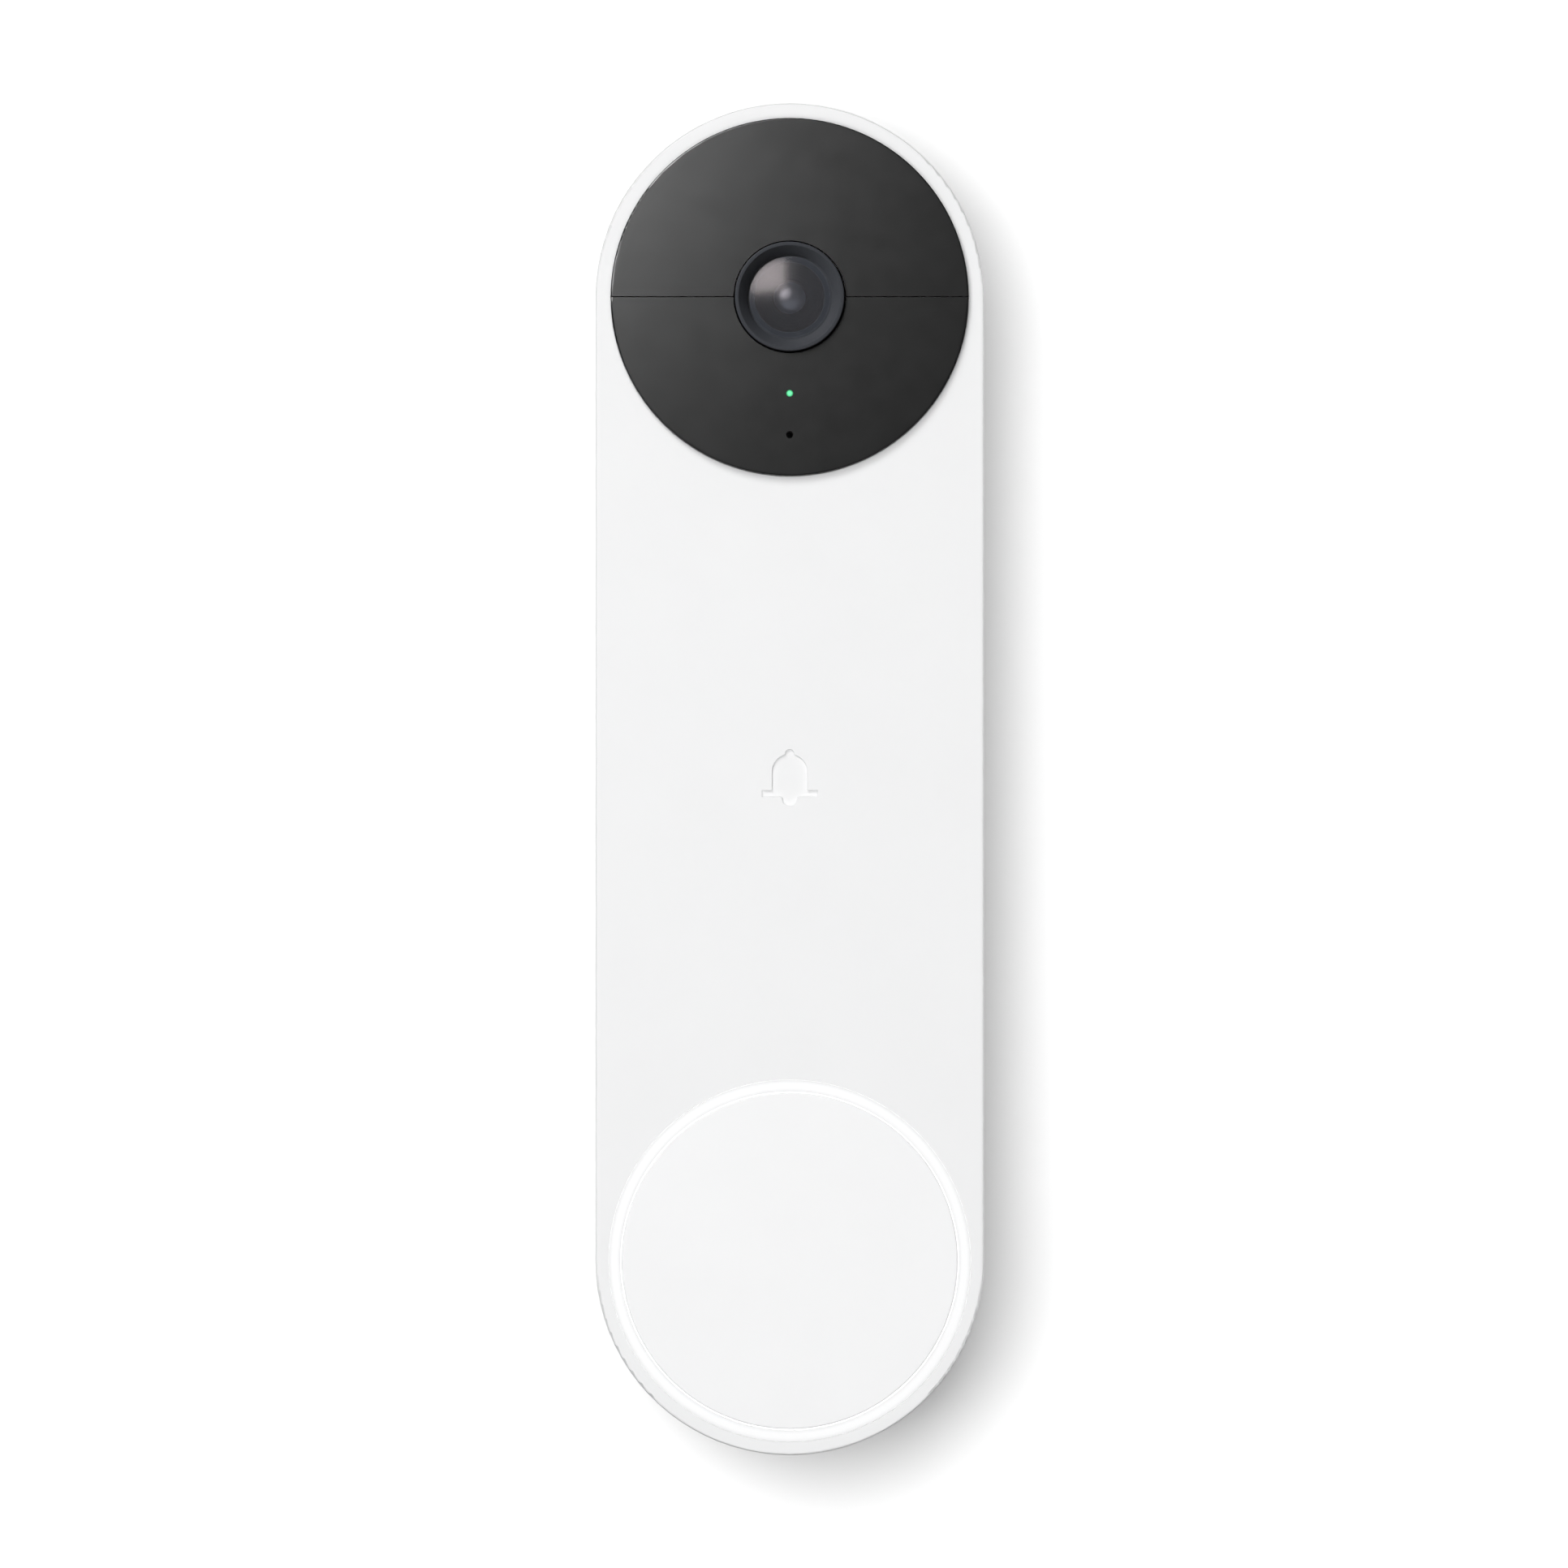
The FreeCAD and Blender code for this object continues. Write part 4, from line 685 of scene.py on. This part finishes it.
def screw_set(name, node, rows, radius, head, recess, deep, core, crest, shank, pitch):
    """Equal screws in two columns. head and shank are how far in front of the rear they end and start."""
    box = Place(node)
    shape = Shape()
    low, high = box.low.z + radius, box.high.z - radius
    for x in (box.low.x + radius, box.high.x - radius):
        for row in range(rows):
            z = low + (high - low) * row / (rows - 1)
            screw_head(shape, x, z, radius, box.rear, box.rear + head, recess, deep)
            shape.thread(x, z, core, crest, box.rear + shank, box.front, pitch, 32)
    shape.piece(name, "screw_steel", node)


def screws():
    screw_set("housing_screw_set", "housing_screws", 3, radius=1.9 * MM, head=0.95 * MM, recess=PHILLIPS,
              deep=0.55 * MM, core=0.6 * MM, crest=0.78 * MM, shank=0.9 * MM, pitch=0.5 * MM)
    screw_set("chassis_screw_set", "chassis_screws", 2, radius=1.5 * MM, head=1.08 * MM,
              recess=scaled(PHILLIPS, 0.75), deep=0.5 * MM, core=0.45 * MM, crest=0.58 * MM, shank=1.0 * MM,
              pitch=0.4 * MM)
    box = Place("latch_rivets")
    radius = box.radius
    shape = Shape()
    top = box.front
    profile = [(0.0, box.rear), (0.5 * MM, box.rear), (0.6 * MM, box.rear + 0.1 * MM),
               (0.6 * MM, top - 0.42 * MM), (radius, top - 0.4 * MM), (radius, top - 0.3 * MM),
               (radius * 0.85, top - 0.12 * MM), (radius * 0.5, top - 0.02 * MM), (0.0, top)]
    for z in (box.low.z + radius, box.high.z - radius):
        shape.lathe(profile, 0.0, z, 48)
    shape.piece("rivet_pair", "screw_steel", "latch_rivets", body="wall_mount")


def clamp_washer(side):
    """A square plate with a round bore, both with broken edges."""
    box = Place(side + "_clamp_plate")
    bore = 1.6 * MM
    chamfer = 0.1 * MM
    thick = 1.0 * MM
    outline = rounded_rectangle(box.width, box.height, 0.6 * MM, 11)
    angles = [atan2(b, a) for a, b in outline]
    layers = ((chamfer, 0.0), (0.0, chamfer), (0.0, thick - chamfer), (chamfer, thick))
    shape = Shape()
    rings = []
    for inset, depth in layers:
        shrink = 1 - inset * 2 / box.width
        rings.append(shape.ring([(box.x + a * shrink, box.rear + depth, box.z + b * shrink)
                                 for a, b in outline]))
    for widen, depth in layers[::-1]:
        reach = bore + widen
        rings.append(shape.ring([(box.x + reach * cos(angle), box.rear + depth,
                                  box.z + reach * sin(angle)) for angle in angles]))
    for first, second in zip(rings, rings[1:] + rings[:1]):
        shape.bridge(first, second)
    shape.piece(side + "_clamp_washer", "terminal_steel", side + "_clamp_plate", body=side + "_clamp")


def terminals():
    for side in ("left", "right"):
        box = Place(side + "_terminal_screw")
        shape = Shape()
        screw_head(shape, box.x, box.z, box.radius, box.rear, TERMINAL_HEAD, slot_and_cross, 0.75 * MM, 0.9)
        shape.thread(box.x, box.z, 1.2 * MM, 1.49 * MM, TERMINAL_HEAD - 0.05 * MM, box.front, 0.7 * MM)
        shape.piece(side + "_screw_turned", "terminal_steel", side + "_terminal_screw", body=side + "_screw")
        clamp_washer(side)
    for name, width in (("terminal_block", 0.15), ("terminal_nuts", 0.08), ("usb_port", 0.05)):
        soften(nodes[name], width * MM)


def latch():
    box = Place("latch_spring")
    thick = 0.4 * MM
    foot = box.rear + thick / 2
    upright = SPRING_TOP - thick / 2
    top = box.front - thick / 2
    path = blended([(foot, box.low.z, 0.0), (foot, upright, 0.7 * MM), (top, upright, 0.5 * MM),
                    (top - 0.02 * MM, box.high.z - thick / 2, 0.35 * MM),
                    (SPRING_TIP, box.high.z - 0.1 * MM, 0.0)], False, 8)
    Shape().strip(path, box.x, box.width, thick).piece(
        "latch_strip", "spring_steel", "latch_spring", body="wall_mount")


def ribbon(node, start, turn, end, bend):
    """A flat cable from start along its rear face to turn, and back along its front face to end."""
    box = Place(node)
    thick = 0.2 * MM
    front = box.front - thick / 2
    rear = box.rear + thick / 2
    corners = [(rear, start, 0.0), (rear, turn, bend), (front, turn, bend), (front, end, 0.0)]
    path = blended(corners, False, 8)
    Shape().strip(path, box.x, box.width, thick).piece(node + "_film", "ribbon", node)


def ribbons():
    bend = 0.45 * MM
    box = Place("camera_flex")
    ribbon("camera_flex", box.high.z, box.high.z - 2.5 * MM, box.low.z, bend)
    box = Place("battery_flex")
    ribbon("battery_flex", box.low.z + 1.4 * MM, box.low.z + 0.1 * MM, box.high.z, bend)
    box = Place("button_flex")
    ribbon("button_flex", box.low.z, BUTTON_FLEX_TURN, box.high.z, 0.25 * MM)


# ---- electronics ----

def chip(shape, x, z, width, height, rear, front):
    """A moulded chip with a round mark in one corner."""
    shape.slab(x, z, width, height, rear, front, 0.15 * MM, 0.07 * MM)
    shape.lathe([(0.0, front - 0.01 * MM), (0.25 * MM, front - 0.01 * MM), (0.22 * MM, front + 0.02 * MM),
                 (0.0, front + 0.02 * MM)], x - width * 0.32, z + height * 0.32, 16)


def passives(name, cells, rear, length, width, height):
    """Small two-ended parts. cells are (x, z, turn); the bodies and their soldered ends are two pieces."""
    bodies, ends = Shape(), Shape()
    for x, z, turn in cells:
        bodies.slab(x, z, length * 0.62, width * 0.94, rear, rear + height, 0.03 * MM, 0.03 * MM, turn)
        for side in (-1, 1):
            reach = side * length * 0.42
            ends.slab(x + reach * cos(turn), z + reach * sin(turn), length * 0.3, width, rear,
                      rear + height * 1.04, 0.04 * MM, 0.04 * MM, turn)
    bodies.piece(name + "_bodies", "black_plastic")
    ends.piece(name + "_ends", "shield_metal")


def within(x, z, zone, margin):
    """Whether a point lies in a zone of (low x, high x, low z, high z) that is grown by margin."""
    low_x, high_x, low_z, high_z = zone
    return low_x - margin < x < high_x + margin and low_z - margin < z < high_z + margin


def free_cells(node, step, keep_out, share):
    """Places on a board that miss every keep-out zone, at random for that share of them."""
    box = Place(node)
    cells = []
    columns = int((box.width - 2 * MM) / step)
    rows = int((box.height - 2 * MM) / step)
    for row in range(rows):
        for column in range(columns):
            x = box.low.x + 1.5 * MM + (column + 0.5) * step
            z = box.low.z + 1.5 * MM + (row + 0.5) * step
            turn = draw.choice((0.0, pi / 2))
            wanted = draw.random() < share
            clear = not any(within(x, z, zone, 0.8 * MM) for zone in keep_out)
            if wanted and clear and within(x, z, span(node), -1 * MM):
                cells.append((x, z, turn))
    return cells


def span(node):
    box = Place(node)
    return box.low.x, box.high.x, box.low.z, box.high.z


def boards():
    for node, corner in (("main_board", 1.2), ("front_sensor_board", 0.8), ("night_led_board", 0.8),
                         ("rear_port_board", 1.0), ("sensor_board", 0.8)):
        Shape().block(Place(node), corner * MM, FINE).piece(node + "_laminate", "circuit_board", node)
    box = Place("button_board")
    profile = blended([(box.radius, box.rear, FINE), (box.radius, box.front, FINE)], False)
    Shape().lathe([(0.0, box.rear)] + profile + [(0.0, box.front)], box.x, box.z, 160).piece(
        "button_board_laminate", "circuit_board", "button_board")
    main_board_parts()
    button_board_parts()
    for node, rim in (("processor_shield", 0.9), ("radio_shield", 0.8)):
        shield_can(node, rim * MM)


def main_board_parts():
    front = Place("main_board").front
    chips = Shape()
    taken = [span(node) for node in ("processor_shield", "radio_shield", "camera_flex", "battery_flex",
                                     "button_flex")]
    for x, z, width, height in ((-9.0, -9.0, 6.0, 6.0), (-8.5, -20.0, 5.0, 4.0), (5.0, -20.0, 4.0, 6.0),
                                (-11.0, 31.0, 4.0, 4.0), (10.5, 31.0, 3.0, 5.0)):
        chip(chips, x * MM, z * MM, width * MM, height * MM, front, front + 0.9 * MM)
        taken.append(((x - width / 2) * MM, (x + width / 2) * MM,
                      (z - height / 2) * MM, (z + height / 2) * MM))
    chips.piece("main_board_chips", "black_plastic")
    cells = free_cells("main_board", 1.9 * MM, taken, 0.42)
    passives("main_board_small_parts", cells, front, 1.0 * MM, 0.5 * MM, 0.45 * MM)


def button_board_parts():
    """A circle of small parts, with a gap in it on the right above the middle."""
    board = Place("button_board")
    circle = 13 * MM
    cells = []
    for angle in around(16, pi / 16):
        x, z = board.x + circle * cos(angle), board.z + circle * sin(angle)
        in_gap = abs(x - 5 * MM) < 3 * MM and z > board.z
        if not in_gap:
            cells.append((x, z, angle + pi / 2))
    passives("button_board_small_parts", cells, board.front, 0.8 * MM, 0.4 * MM, 0.3 * MM)


DIMPLE_STEP = 3 * MM


def shield_can(node, rim):
    """A drawn steel can: a tray with a soft shoulder, a clipped-on lid with dimples along its sides."""
    box = Place(node)
    shape = Shape()
    shape.slab(box.x, box.z, box.width, box.height, box.rear, box.front - 0.35 * MM, 0.6 * MM, 0.08 * MM)
    shape.slab(box.x, box.z, box.width - 0.24 * MM, box.height - 0.24 * MM, box.front - 0.40 * MM,
               box.front, 0.7 * MM, 0.18 * MM)
    count = int(box.width / DIMPLE_STEP)
    for k in range(count):
        for side in (-1, 1):
            x = box.low.x + (k + 0.5) * box.width / count
            z = box.z + side * (box.height / 2 - rim)
            shape.lathe([(0.0, box.front - 0.05 * MM), (0.32 * MM, box.front - 0.05 * MM),
                         (0.28 * MM, box.front - 0.005 * MM), (0.0, box.front - 0.002 * MM)], x, z, 24)
    shape.piece(node + "_can", "shield_metal", node)


# ---- lights of the doorbell ----

PIPE_STEP = 20.3 * MM
RING_LIGHTS = 12
NIGHT_LIGHTS = 4
DOME_STEPS = 8


def ring_lights():
    box = Place("ring_leds")
    base, resin = Shape(), Shape()
    circle = box.radius - 0.5 * MM
    for angle in around(RING_LIGHTS):
        x, z = box.x + circle * cos(angle), box.z + circle * sin(angle)
        base.slab(x, z, 0.98 * MM, 1.58 * MM, box.rear, box.front - 0.12 * MM, 0.05 * MM, 0.03 * MM, angle)
        resin.slab(x, z, 0.7 * MM, 1.1 * MM, box.front - 0.14 * MM, box.front, 0.15 * MM, 0.06 * MM, angle)
    base.piece("ring_light_bases", "light_diffuser", "ring_leds")
    resin.piece("ring_light_resin", "white_led")


def night_lights():
    """Domed lamps in a row on a wider foot, beside the lens."""
    box = Place("infrared_leds")
    foot = 1.4 * MM
    bulb = foot - 0.18 * MM
    rise = 0.9 * MM
    side = box.front - rise
    profile = [(0.0, box.rear), (foot, box.rear), (foot, box.rear + 0.35 * MM),
               (bulb, box.rear + 0.45 * MM), (bulb, side)]
    for step in range(1, DOME_STEPS):
        turn = step / DOME_STEPS * pi / 2
        profile.append((bulb * cos(turn), side + rise * sin(turn)))
    profile.append((0.0, side + rise))
    shape = Shape()
    for k in range(NIGHT_LIGHTS):
        x = box.low.x + foot + k * (box.width - 2 * foot) / (NIGHT_LIGHTS - 1)
        shape.lathe(profile, x, box.z, 48)
    shape.piece("night_light_bulbs", "infrared_led", "infrared_leds")


def light_pipe():
    """A stepped rod that carries the status light to the face."""
    tip = 0.4 * MM
    profile = blended([(0.0, pipe.rear, 0.0), (pipe.radius, pipe.rear, SOFT),
                       (pipe.radius, PIPE_STEP, SOFT), (tip, PIPE_STEP, SOFT),
                       (tip, pipe.front - 0.03 * MM, 0.08 * MM), (0.0, pipe.front, 0.0)], False)
    Shape().lathe(profile, pipe.x, pipe.z, 48).piece("status_light_rod", "status_pipe", "status_light_pipe")


def small_lights():
    ring_lights()
    Shape().block(Place("status_led"), SOFT, 0.08 * MM).piece(
        "status_light_chip", "white_led", "status_led")
    night_lights()
    light_pipe()


def ring_film():
    """A film inside the light ring that closes the gap round the button, clear of the cap's travel. It
    carries an even painted glow, so that the gap shows light where it would be in shade.
    """
    inner, outer = ring.radius - 1.63 * MM, ring.radius - 1.25 * MM
    rear, front = FACE - 2.5 * MM, FACE - 2.3 * MM
    profile = blended([(inner, rear, 0.03 * MM), (outer, rear, 0.03 * MM), (outer, front, 0.03 * MM),
                       (inner, front, 0.03 * MM)])
    Shape().lathe(profile, ring.x, ring.z, 160).piece("light_ring_film", "light_diffuser")


# ---- sensing and sound ----

MICROPHONE_LIP = 21.75 * MM


def motion_sensor():
    """A round can with a brim and a pane sunk in its front."""
    can = Place("motion_sensor")
    brim = can.rear + 0.35 * MM
    wall = can.radius - 0.4 * MM
    top = can.front
    profile = blended([(0.0, can.rear, 0.0), (can.radius, can.rear, FINE), (can.radius, brim, SOFT),
                       (wall, brim, SOFT), (wall, top, 0.25 * MM), (2.6 * MM, top, FINE),
                       (2.5 * MM, top - 0.15 * MM, 0.0), (0.0, top - 0.15 * MM, 0.0)], False)
    Shape().lathe(profile, can.x, can.z, 96).piece("motion_sensor_can", "shield_metal", "motion_sensor")
    Shape().slab(can.x, can.z, 3.2 * MM, 2.4 * MM, top - 0.2 * MM, top - 0.04 * MM, 0.3 * MM, FINE).piece(
        "motion_sensor_pane", "infrared_led")


def microphone():
    """The microphone's can, the rubber sleeve up to the hole in the cover, and a screen in the sleeve."""
    Shape().block(Place("microphone"), 0.25 * MM, SOFT).piece(
        "microphone_can", "shield_metal", "microphone")
    gasket = Place("microphone_gasket")
    hole = 0.36 * MM
    sleeve = 0.50 * MM
    shoulder = gasket.front - 0.02 * MM
    profile = blended([(hole, gasket.rear, FINE), (gasket.radius, gasket.rear, SOFT),
                       (gasket.radius, shoulder, SOFT), (sleeve, shoulder, FINE),
                       (sleeve, MICROPHONE_LIP, FINE), (hole, MICROPHONE_LIP, FINE)])
    Shape().lathe(profile, gasket.x, gasket.z, 48).piece(
        "microphone_sleeve", "seal_rubber", "microphone_gasket")
    rear, front = gasket.rear + 0.02 * MM, gasket.rear + 0.08 * MM
    Shape().lathe([(0.0, rear), (hole, rear), (hole, front), (0.0, front)], gasket.x, gasket.z, 32).piece(
        "microphone_dust_screen", "seal_rubber")


def sensing():
    motion_sensor()
    microphone()


def speaker_screen():
    """Woven steel wire in a pressed frame, over the mouth of the speaker's duct."""
    box = Place("speaker_mesh")
    shape = Shape()
    rim = 0.4 * MM
    radius = 0.065 * MM
    lift = 0.07 * MM
    pitch = 0.45 * MM
    half = pitch / 2
    across = int((box.width - 2 * rim) / pitch)
    deep = int((box.front - box.rear - 2 * rim) / pitch)
    left = box.x - across * half
    back = (box.rear + box.front) / 2 - deep * half
    for row in range(deep + 1):
        path = [(left + k * half, back + row * pitch, box.z + lift * cos(pi * (k / 2 + row)))
                for k in range(2 * across + 1)]
        shape.wire(path, radius, (0, 0, 1))
    for column in range(across + 1):
        path = [(left + column * pitch, back + k * half, box.z - lift * cos(pi * (k / 2 + column)))
                for k in range(2 * deep + 1)]
        shape.wire(path, radius, (0, 0, 1))
    for x in (box.low.x + rim / 2, box.high.x - rim / 2):
        shape.slab(x, box.z, rim, box.height, box.rear, box.front, 0.05 * MM, 0.04 * MM)
    for depth in (box.rear + rim / 2, box.front - rim / 2):
        shape.slab(box.x, box.z, box.width, box.height, depth - rim / 2, depth + rim / 2, 0.05 * MM,
                   0.04 * MM)
    shape.piece("speaker_screen", "mesh_steel", "speaker_mesh")


def battery():
    """A laminated pouch with pillowed faces and rounded sides, and a tape across its lower end."""
    box = Place("battery_pack")
    shape = Shape()
    rings = []
    corner = 3.0 * MM
    thick = box.front - box.rear
    for part, inset in ((0.0, 1.6), (0.02, 0.8), (0.08, 0.25), (0.2, 0.05), (0.5, 0.0), (0.8, 0.05),
                        (0.92, 0.25), (0.98, 0.8), (1.0, 1.6)):
        outline = rounded_rectangle(box.width - 2 * inset * MM, box.height - 2 * inset * MM,
                                    corner - inset * MM, 8)
        rings.append(shape.ring([(box.x + a, box.rear + thick * part, box.z + b) for a, b in outline]))
    shape.stack(rings)
    shape.piece("battery_pouch", "battery_wrap", "battery_pack")
    Shape().slab(box.x, box.low.z + 2.2 * MM, box.width - 3.6 * MM, 3.6 * MM, box.rear,
                 box.rear + 0.3 * MM, 0.4 * MM, 0.03 * MM).piece("battery_head_tape", "ribbon")


def antenna():
    """A copper trace that folds to and fro."""
    box = Place("wifi_antenna")
    shape = Shape()
    track = 0.9 * MM
    gap = 2.0 * MM
    count = int(box.width / gap)
    step = (box.width - track) / count
    for k in range(count + 1):
        x = box.low.x + track / 2 + k * step
        shape.slab(x, box.z, track, box.height, box.rear, box.front, 0.1 * MM, 0.03 * MM)
        if k < count:
            z = box.z + (1 if k % 2 else -1) * (box.height - track) / 2
            shape.slab(x + step / 2, z, step, track, box.rear + 0.01 * MM, box.front - 0.01 * MM, 0.1 * MM,
                       0.03 * MM)
    shape.piece("wifi_antenna_trace", "antenna_copper", "wifi_antenna")


def inner_parts():
    """Moulded and stamped parts whose CAD shape is right, with softened edges."""
    for name, width in (("tact_switch", 0.12), ("switch_plunger", 0.15), ("reset_button", 0.15),
                        ("reset_switch", 0.12), ("filter_actuator", 0.25), ("speaker_frame", 0.25),
                        ("speaker_magnet", 0.3), ("speaker_cone", 0.12), ("speaker_duct", 0.15),
                        ("image_sensor", 0.06), ("ir_cut_filter", 0.05), ("housing_seal", 0.12),
                        ("button_seal", 0.06)):
        soften(nodes[name], width * MM)


camera()
ring_film()
screws()
terminals()
latch()
ribbons()
boards()
small_lights()
sensing()
speaker_screen()
battery()
antenna()
inner_parts()


# ---- studio ----

WALL_WHITE = (1.32, 1.32, 1.32)
WALL_GAP = 0.3 * MM
FLOOR_PALE = (0.80, 0.80, 0.79)
FLOOR_LIGHT = 0.8
FLOOR_DROP = 0.40
STUDIO_HALF = 3.0
AMBIENT = 0.11
BACKDROP = 0.93
KEY_DISTANCE = 0.62
KEY_SIZE = (0.616, 0.60)
FACE_PIECES = ("front_housing", "button_cap", "light_ring", "light_ring_film")
DISC_PIECES = ("upper_disc_cover", "lower_disc_cover")


def one_sided(name, colour, own_light=0.0):
    """Matt paint seen from its front and clear from behind, so that no view from the back is blocked."""
    material = bpy.data.materials.new(name)
    material.use_nodes = True
    tree = material.node_tree
    tree.nodes.clear()
    where = add_node(tree, "TexCoord").outputs["Object"]
    tone = mixed(tree, noise(tree, where, 0.3), colour, [part * 0.985 for part in colour])
    matt = add_node(tree, "BsdfDiffuse", {"Color": tone}).outputs[0]
    glow = add_node(tree, "Emission", {"Color": tone, "Strength": own_light}).outputs[0]
    lit = add_node(tree, "AddShader", {0: matt, 1: glow}).outputs[0]
    clear = add_node(tree, "BsdfTransparent").outputs[0]
    behind = add_node(tree, "NewGeometry").outputs["Backfacing"]
    mix = add_node(tree, "MixShader", {0: behind, 1: lit, 2: clear}).outputs[0]
    tree.links.new(mix, add_node(tree, "OutputMaterial").inputs["Surface"])
    return material


def stage_plane(name, corners, colour, own_light=0.0):
    """A plane of the studio, which gives the doorbell no shadow and no bounced light."""
    mesh = bpy.data.meshes.new(name)
    mesh.from_pydata(corners, [], [range(len(corners))])
    plane = bpy.data.objects.new(name, mesh)
    scene.collection.objects.link(plane)
    mesh.materials.append(one_sided(name, colour, own_light))
    plane.visible_shadow = False
    plane.visible_diffuse = False
    plane.visible_glossy = False
    pieces[name] = plane


def studio():
    half, wall, floor = STUDIO_HALF, WALL_GAP, -FLOOR_DROP
    stage_plane("wall", [(-half, wall, floor), (half, wall, floor), (half, wall, half), (-half, wall, half)],
                WALL_WHITE)
    corners = [(-half, -half, floor), (half, -half, floor), (half, half, floor), (-half, half, floor)]
    stage_plane("floor", corners, FLOOR_PALE, FLOOR_LIGHT)
    world = bpy.data.worlds.new("soft_room")
    scene.world = world
    world.use_nodes = True
    tree = world.node_tree
    background = tree.nodes["Background"]
    seen = add_node(tree, "LightPath").outputs["Is Camera Ray"]
    strength = spread(tree, seen, AMBIENT, BACKDROP, 0.0, 1.0)
    background.inputs["Color"].default_value = (1.0, 1.0, 1.0, 1.0)
    tree.links.new(strength, background.inputs["Strength"])


def softbox(name, place, aim, size, radiance, diffuse=True, glossy=True, bounces=8):
    """A square lamp that shows its radiance evenly towards aim. It is never seen by the camera."""
    lamp = bpy.data.lights.new(name, "AREA")
    lamp.shape = "RECTANGLE"
    lamp.size, lamp.size_y = size
    lamp.energy = radiance * pi * size[0] * size[1]
    lamp.cycles.max_bounces = bounces
    box = bpy.data.objects.new(name, lamp)
    scene.collection.objects.link(box)
    box.location = place
    box.rotation_mode = "QUATERNION"
    box.rotation_quaternion = (Vector(aim) - Vector(place)).to_track_quat("-Z", "Y")
    box.visible_camera = False
    box.visible_diffuse = diffuse
    box.visible_glossy = glossy
    box.visible_transmission = glossy
    return box


def shine_only_on(lamp, names):
    """Light linking: the lamp lights the named pieces and nothing else."""
    lit = bpy.data.collections.new(lamp.name + "_receivers")
    for name in names:
        lit.objects.link(pieces[name])
    lamp.light_linking.receiver_collection = lit


def lights():
    """The wall has a key lamp of its own, and everything else has another. Each lamp's last number is
    its radiance."""
    middle = (0.0, -FACE, 0.0)
    disc = (0.0, -FACE, LENS_Z)
    others = sorted(set(pieces) - {"wall"})
    for name, x, z, radiance, lit in (("wall_key", -0.176, 0.10, 4.6, ["wall"]),
                                      ("key", -0.05, -0.06, 2.72, others)):
        key = softbox(name, (x, -KEY_DISTANCE, z), (x, 0.0, z), KEY_SIZE, radiance, glossy=False)
        shine_only_on(key, lit)
    top = softbox("top_key", (-0.25, -0.70, 0.60), (0.0, 0.0, 0.0), (0.44, 0.44), 6.8, glossy=False)
    shine_only_on(top, FACE_PIECES)
    bezel_key = softbox("bezel_key", (-0.20, -FACE - 0.30, LENS_Z + 0.17), disc, (0.12, 0.12), 270.0,
                        glossy=False)
    shine_only_on(bezel_key, ["bezel_ring"])
    reflector = softbox("reflector", (-0.0702, -FACE - 0.1035, LENS_Z + 0.0608), disc, (0.0856, 0.0856),
                        26.0, diffuse=False)
    shine_only_on(reflector, DISC_PIECES)
    lens_sheens()
    edge = softbox("right_edge", (0.5, -0.04, 0.0), middle, (0.10, 0.5), 9.0, diffuse=False)
    shine_only_on(edge, FACE_PIECES)
    for name, place, size, radiance in (("right_rim", (0.5, 0.5, 0.05), (0.5, 0.7), 2.85),
                                        ("left_rim", (-0.5, 0.5, 0.05), (0.5, 0.7), 2.85),
                                        ("top_rim", (0.0, 0.5, 0.5), (0.6, 0.3), 2.0)):
        softbox(name, place, middle, size, radiance, bounces=0)


def lens_sheens():
    """Square lamps whose lower right corner ends near the lens's axis, so that they show as quadrants."""
    for name, distance, side, left, up, radiance in (("window_glass", 0.30, 0.28, 0.170, 0.200, 4.2),
                                                     ("front_element", 0.10, 0.34, 0.182, 0.186, 19.0)):
        place = Vector((-left, -FACE - distance, LENS_Z + up))
        sheen = softbox(name + "_sheen", place, place + Vector((0.0, 1.0, 0.0)), (side, side), radiance,
                        diffuse=False)
        sheen.data.color = (1.0, 0.90, 0.91)
        sheen.visible_transmission = False
        shine_only_on(sheen, [name])


# ---- the view ----

PHOTO_SIDE = 185.5 * MM
PHOTO_LENS = 150.0
SENSOR = 36.0
CAMERA_X = -0.67 * MM
CAMERA_Z = -0.57 * MM


def photo_camera():
    data = bpy.data.cameras.new("photo_camera")
    data.lens = PHOTO_LENS
    data.sensor_width = SENSOR
    data.clip_start, data.clip_end = 0.05, 20.0
    camera = bpy.data.objects.new("photo_camera", data)
    scene.collection.objects.link(camera)
    camera.location = (CAMERA_X, -FACE - PHOTO_SIDE * PHOTO_LENS / SENSOR, CAMERA_Z)
    camera.rotation_euler = (radians(90), 0, 0)
    scene.camera = camera


studio()
lights()
photo_camera()
scene.view_settings.view_transform = "Standard"
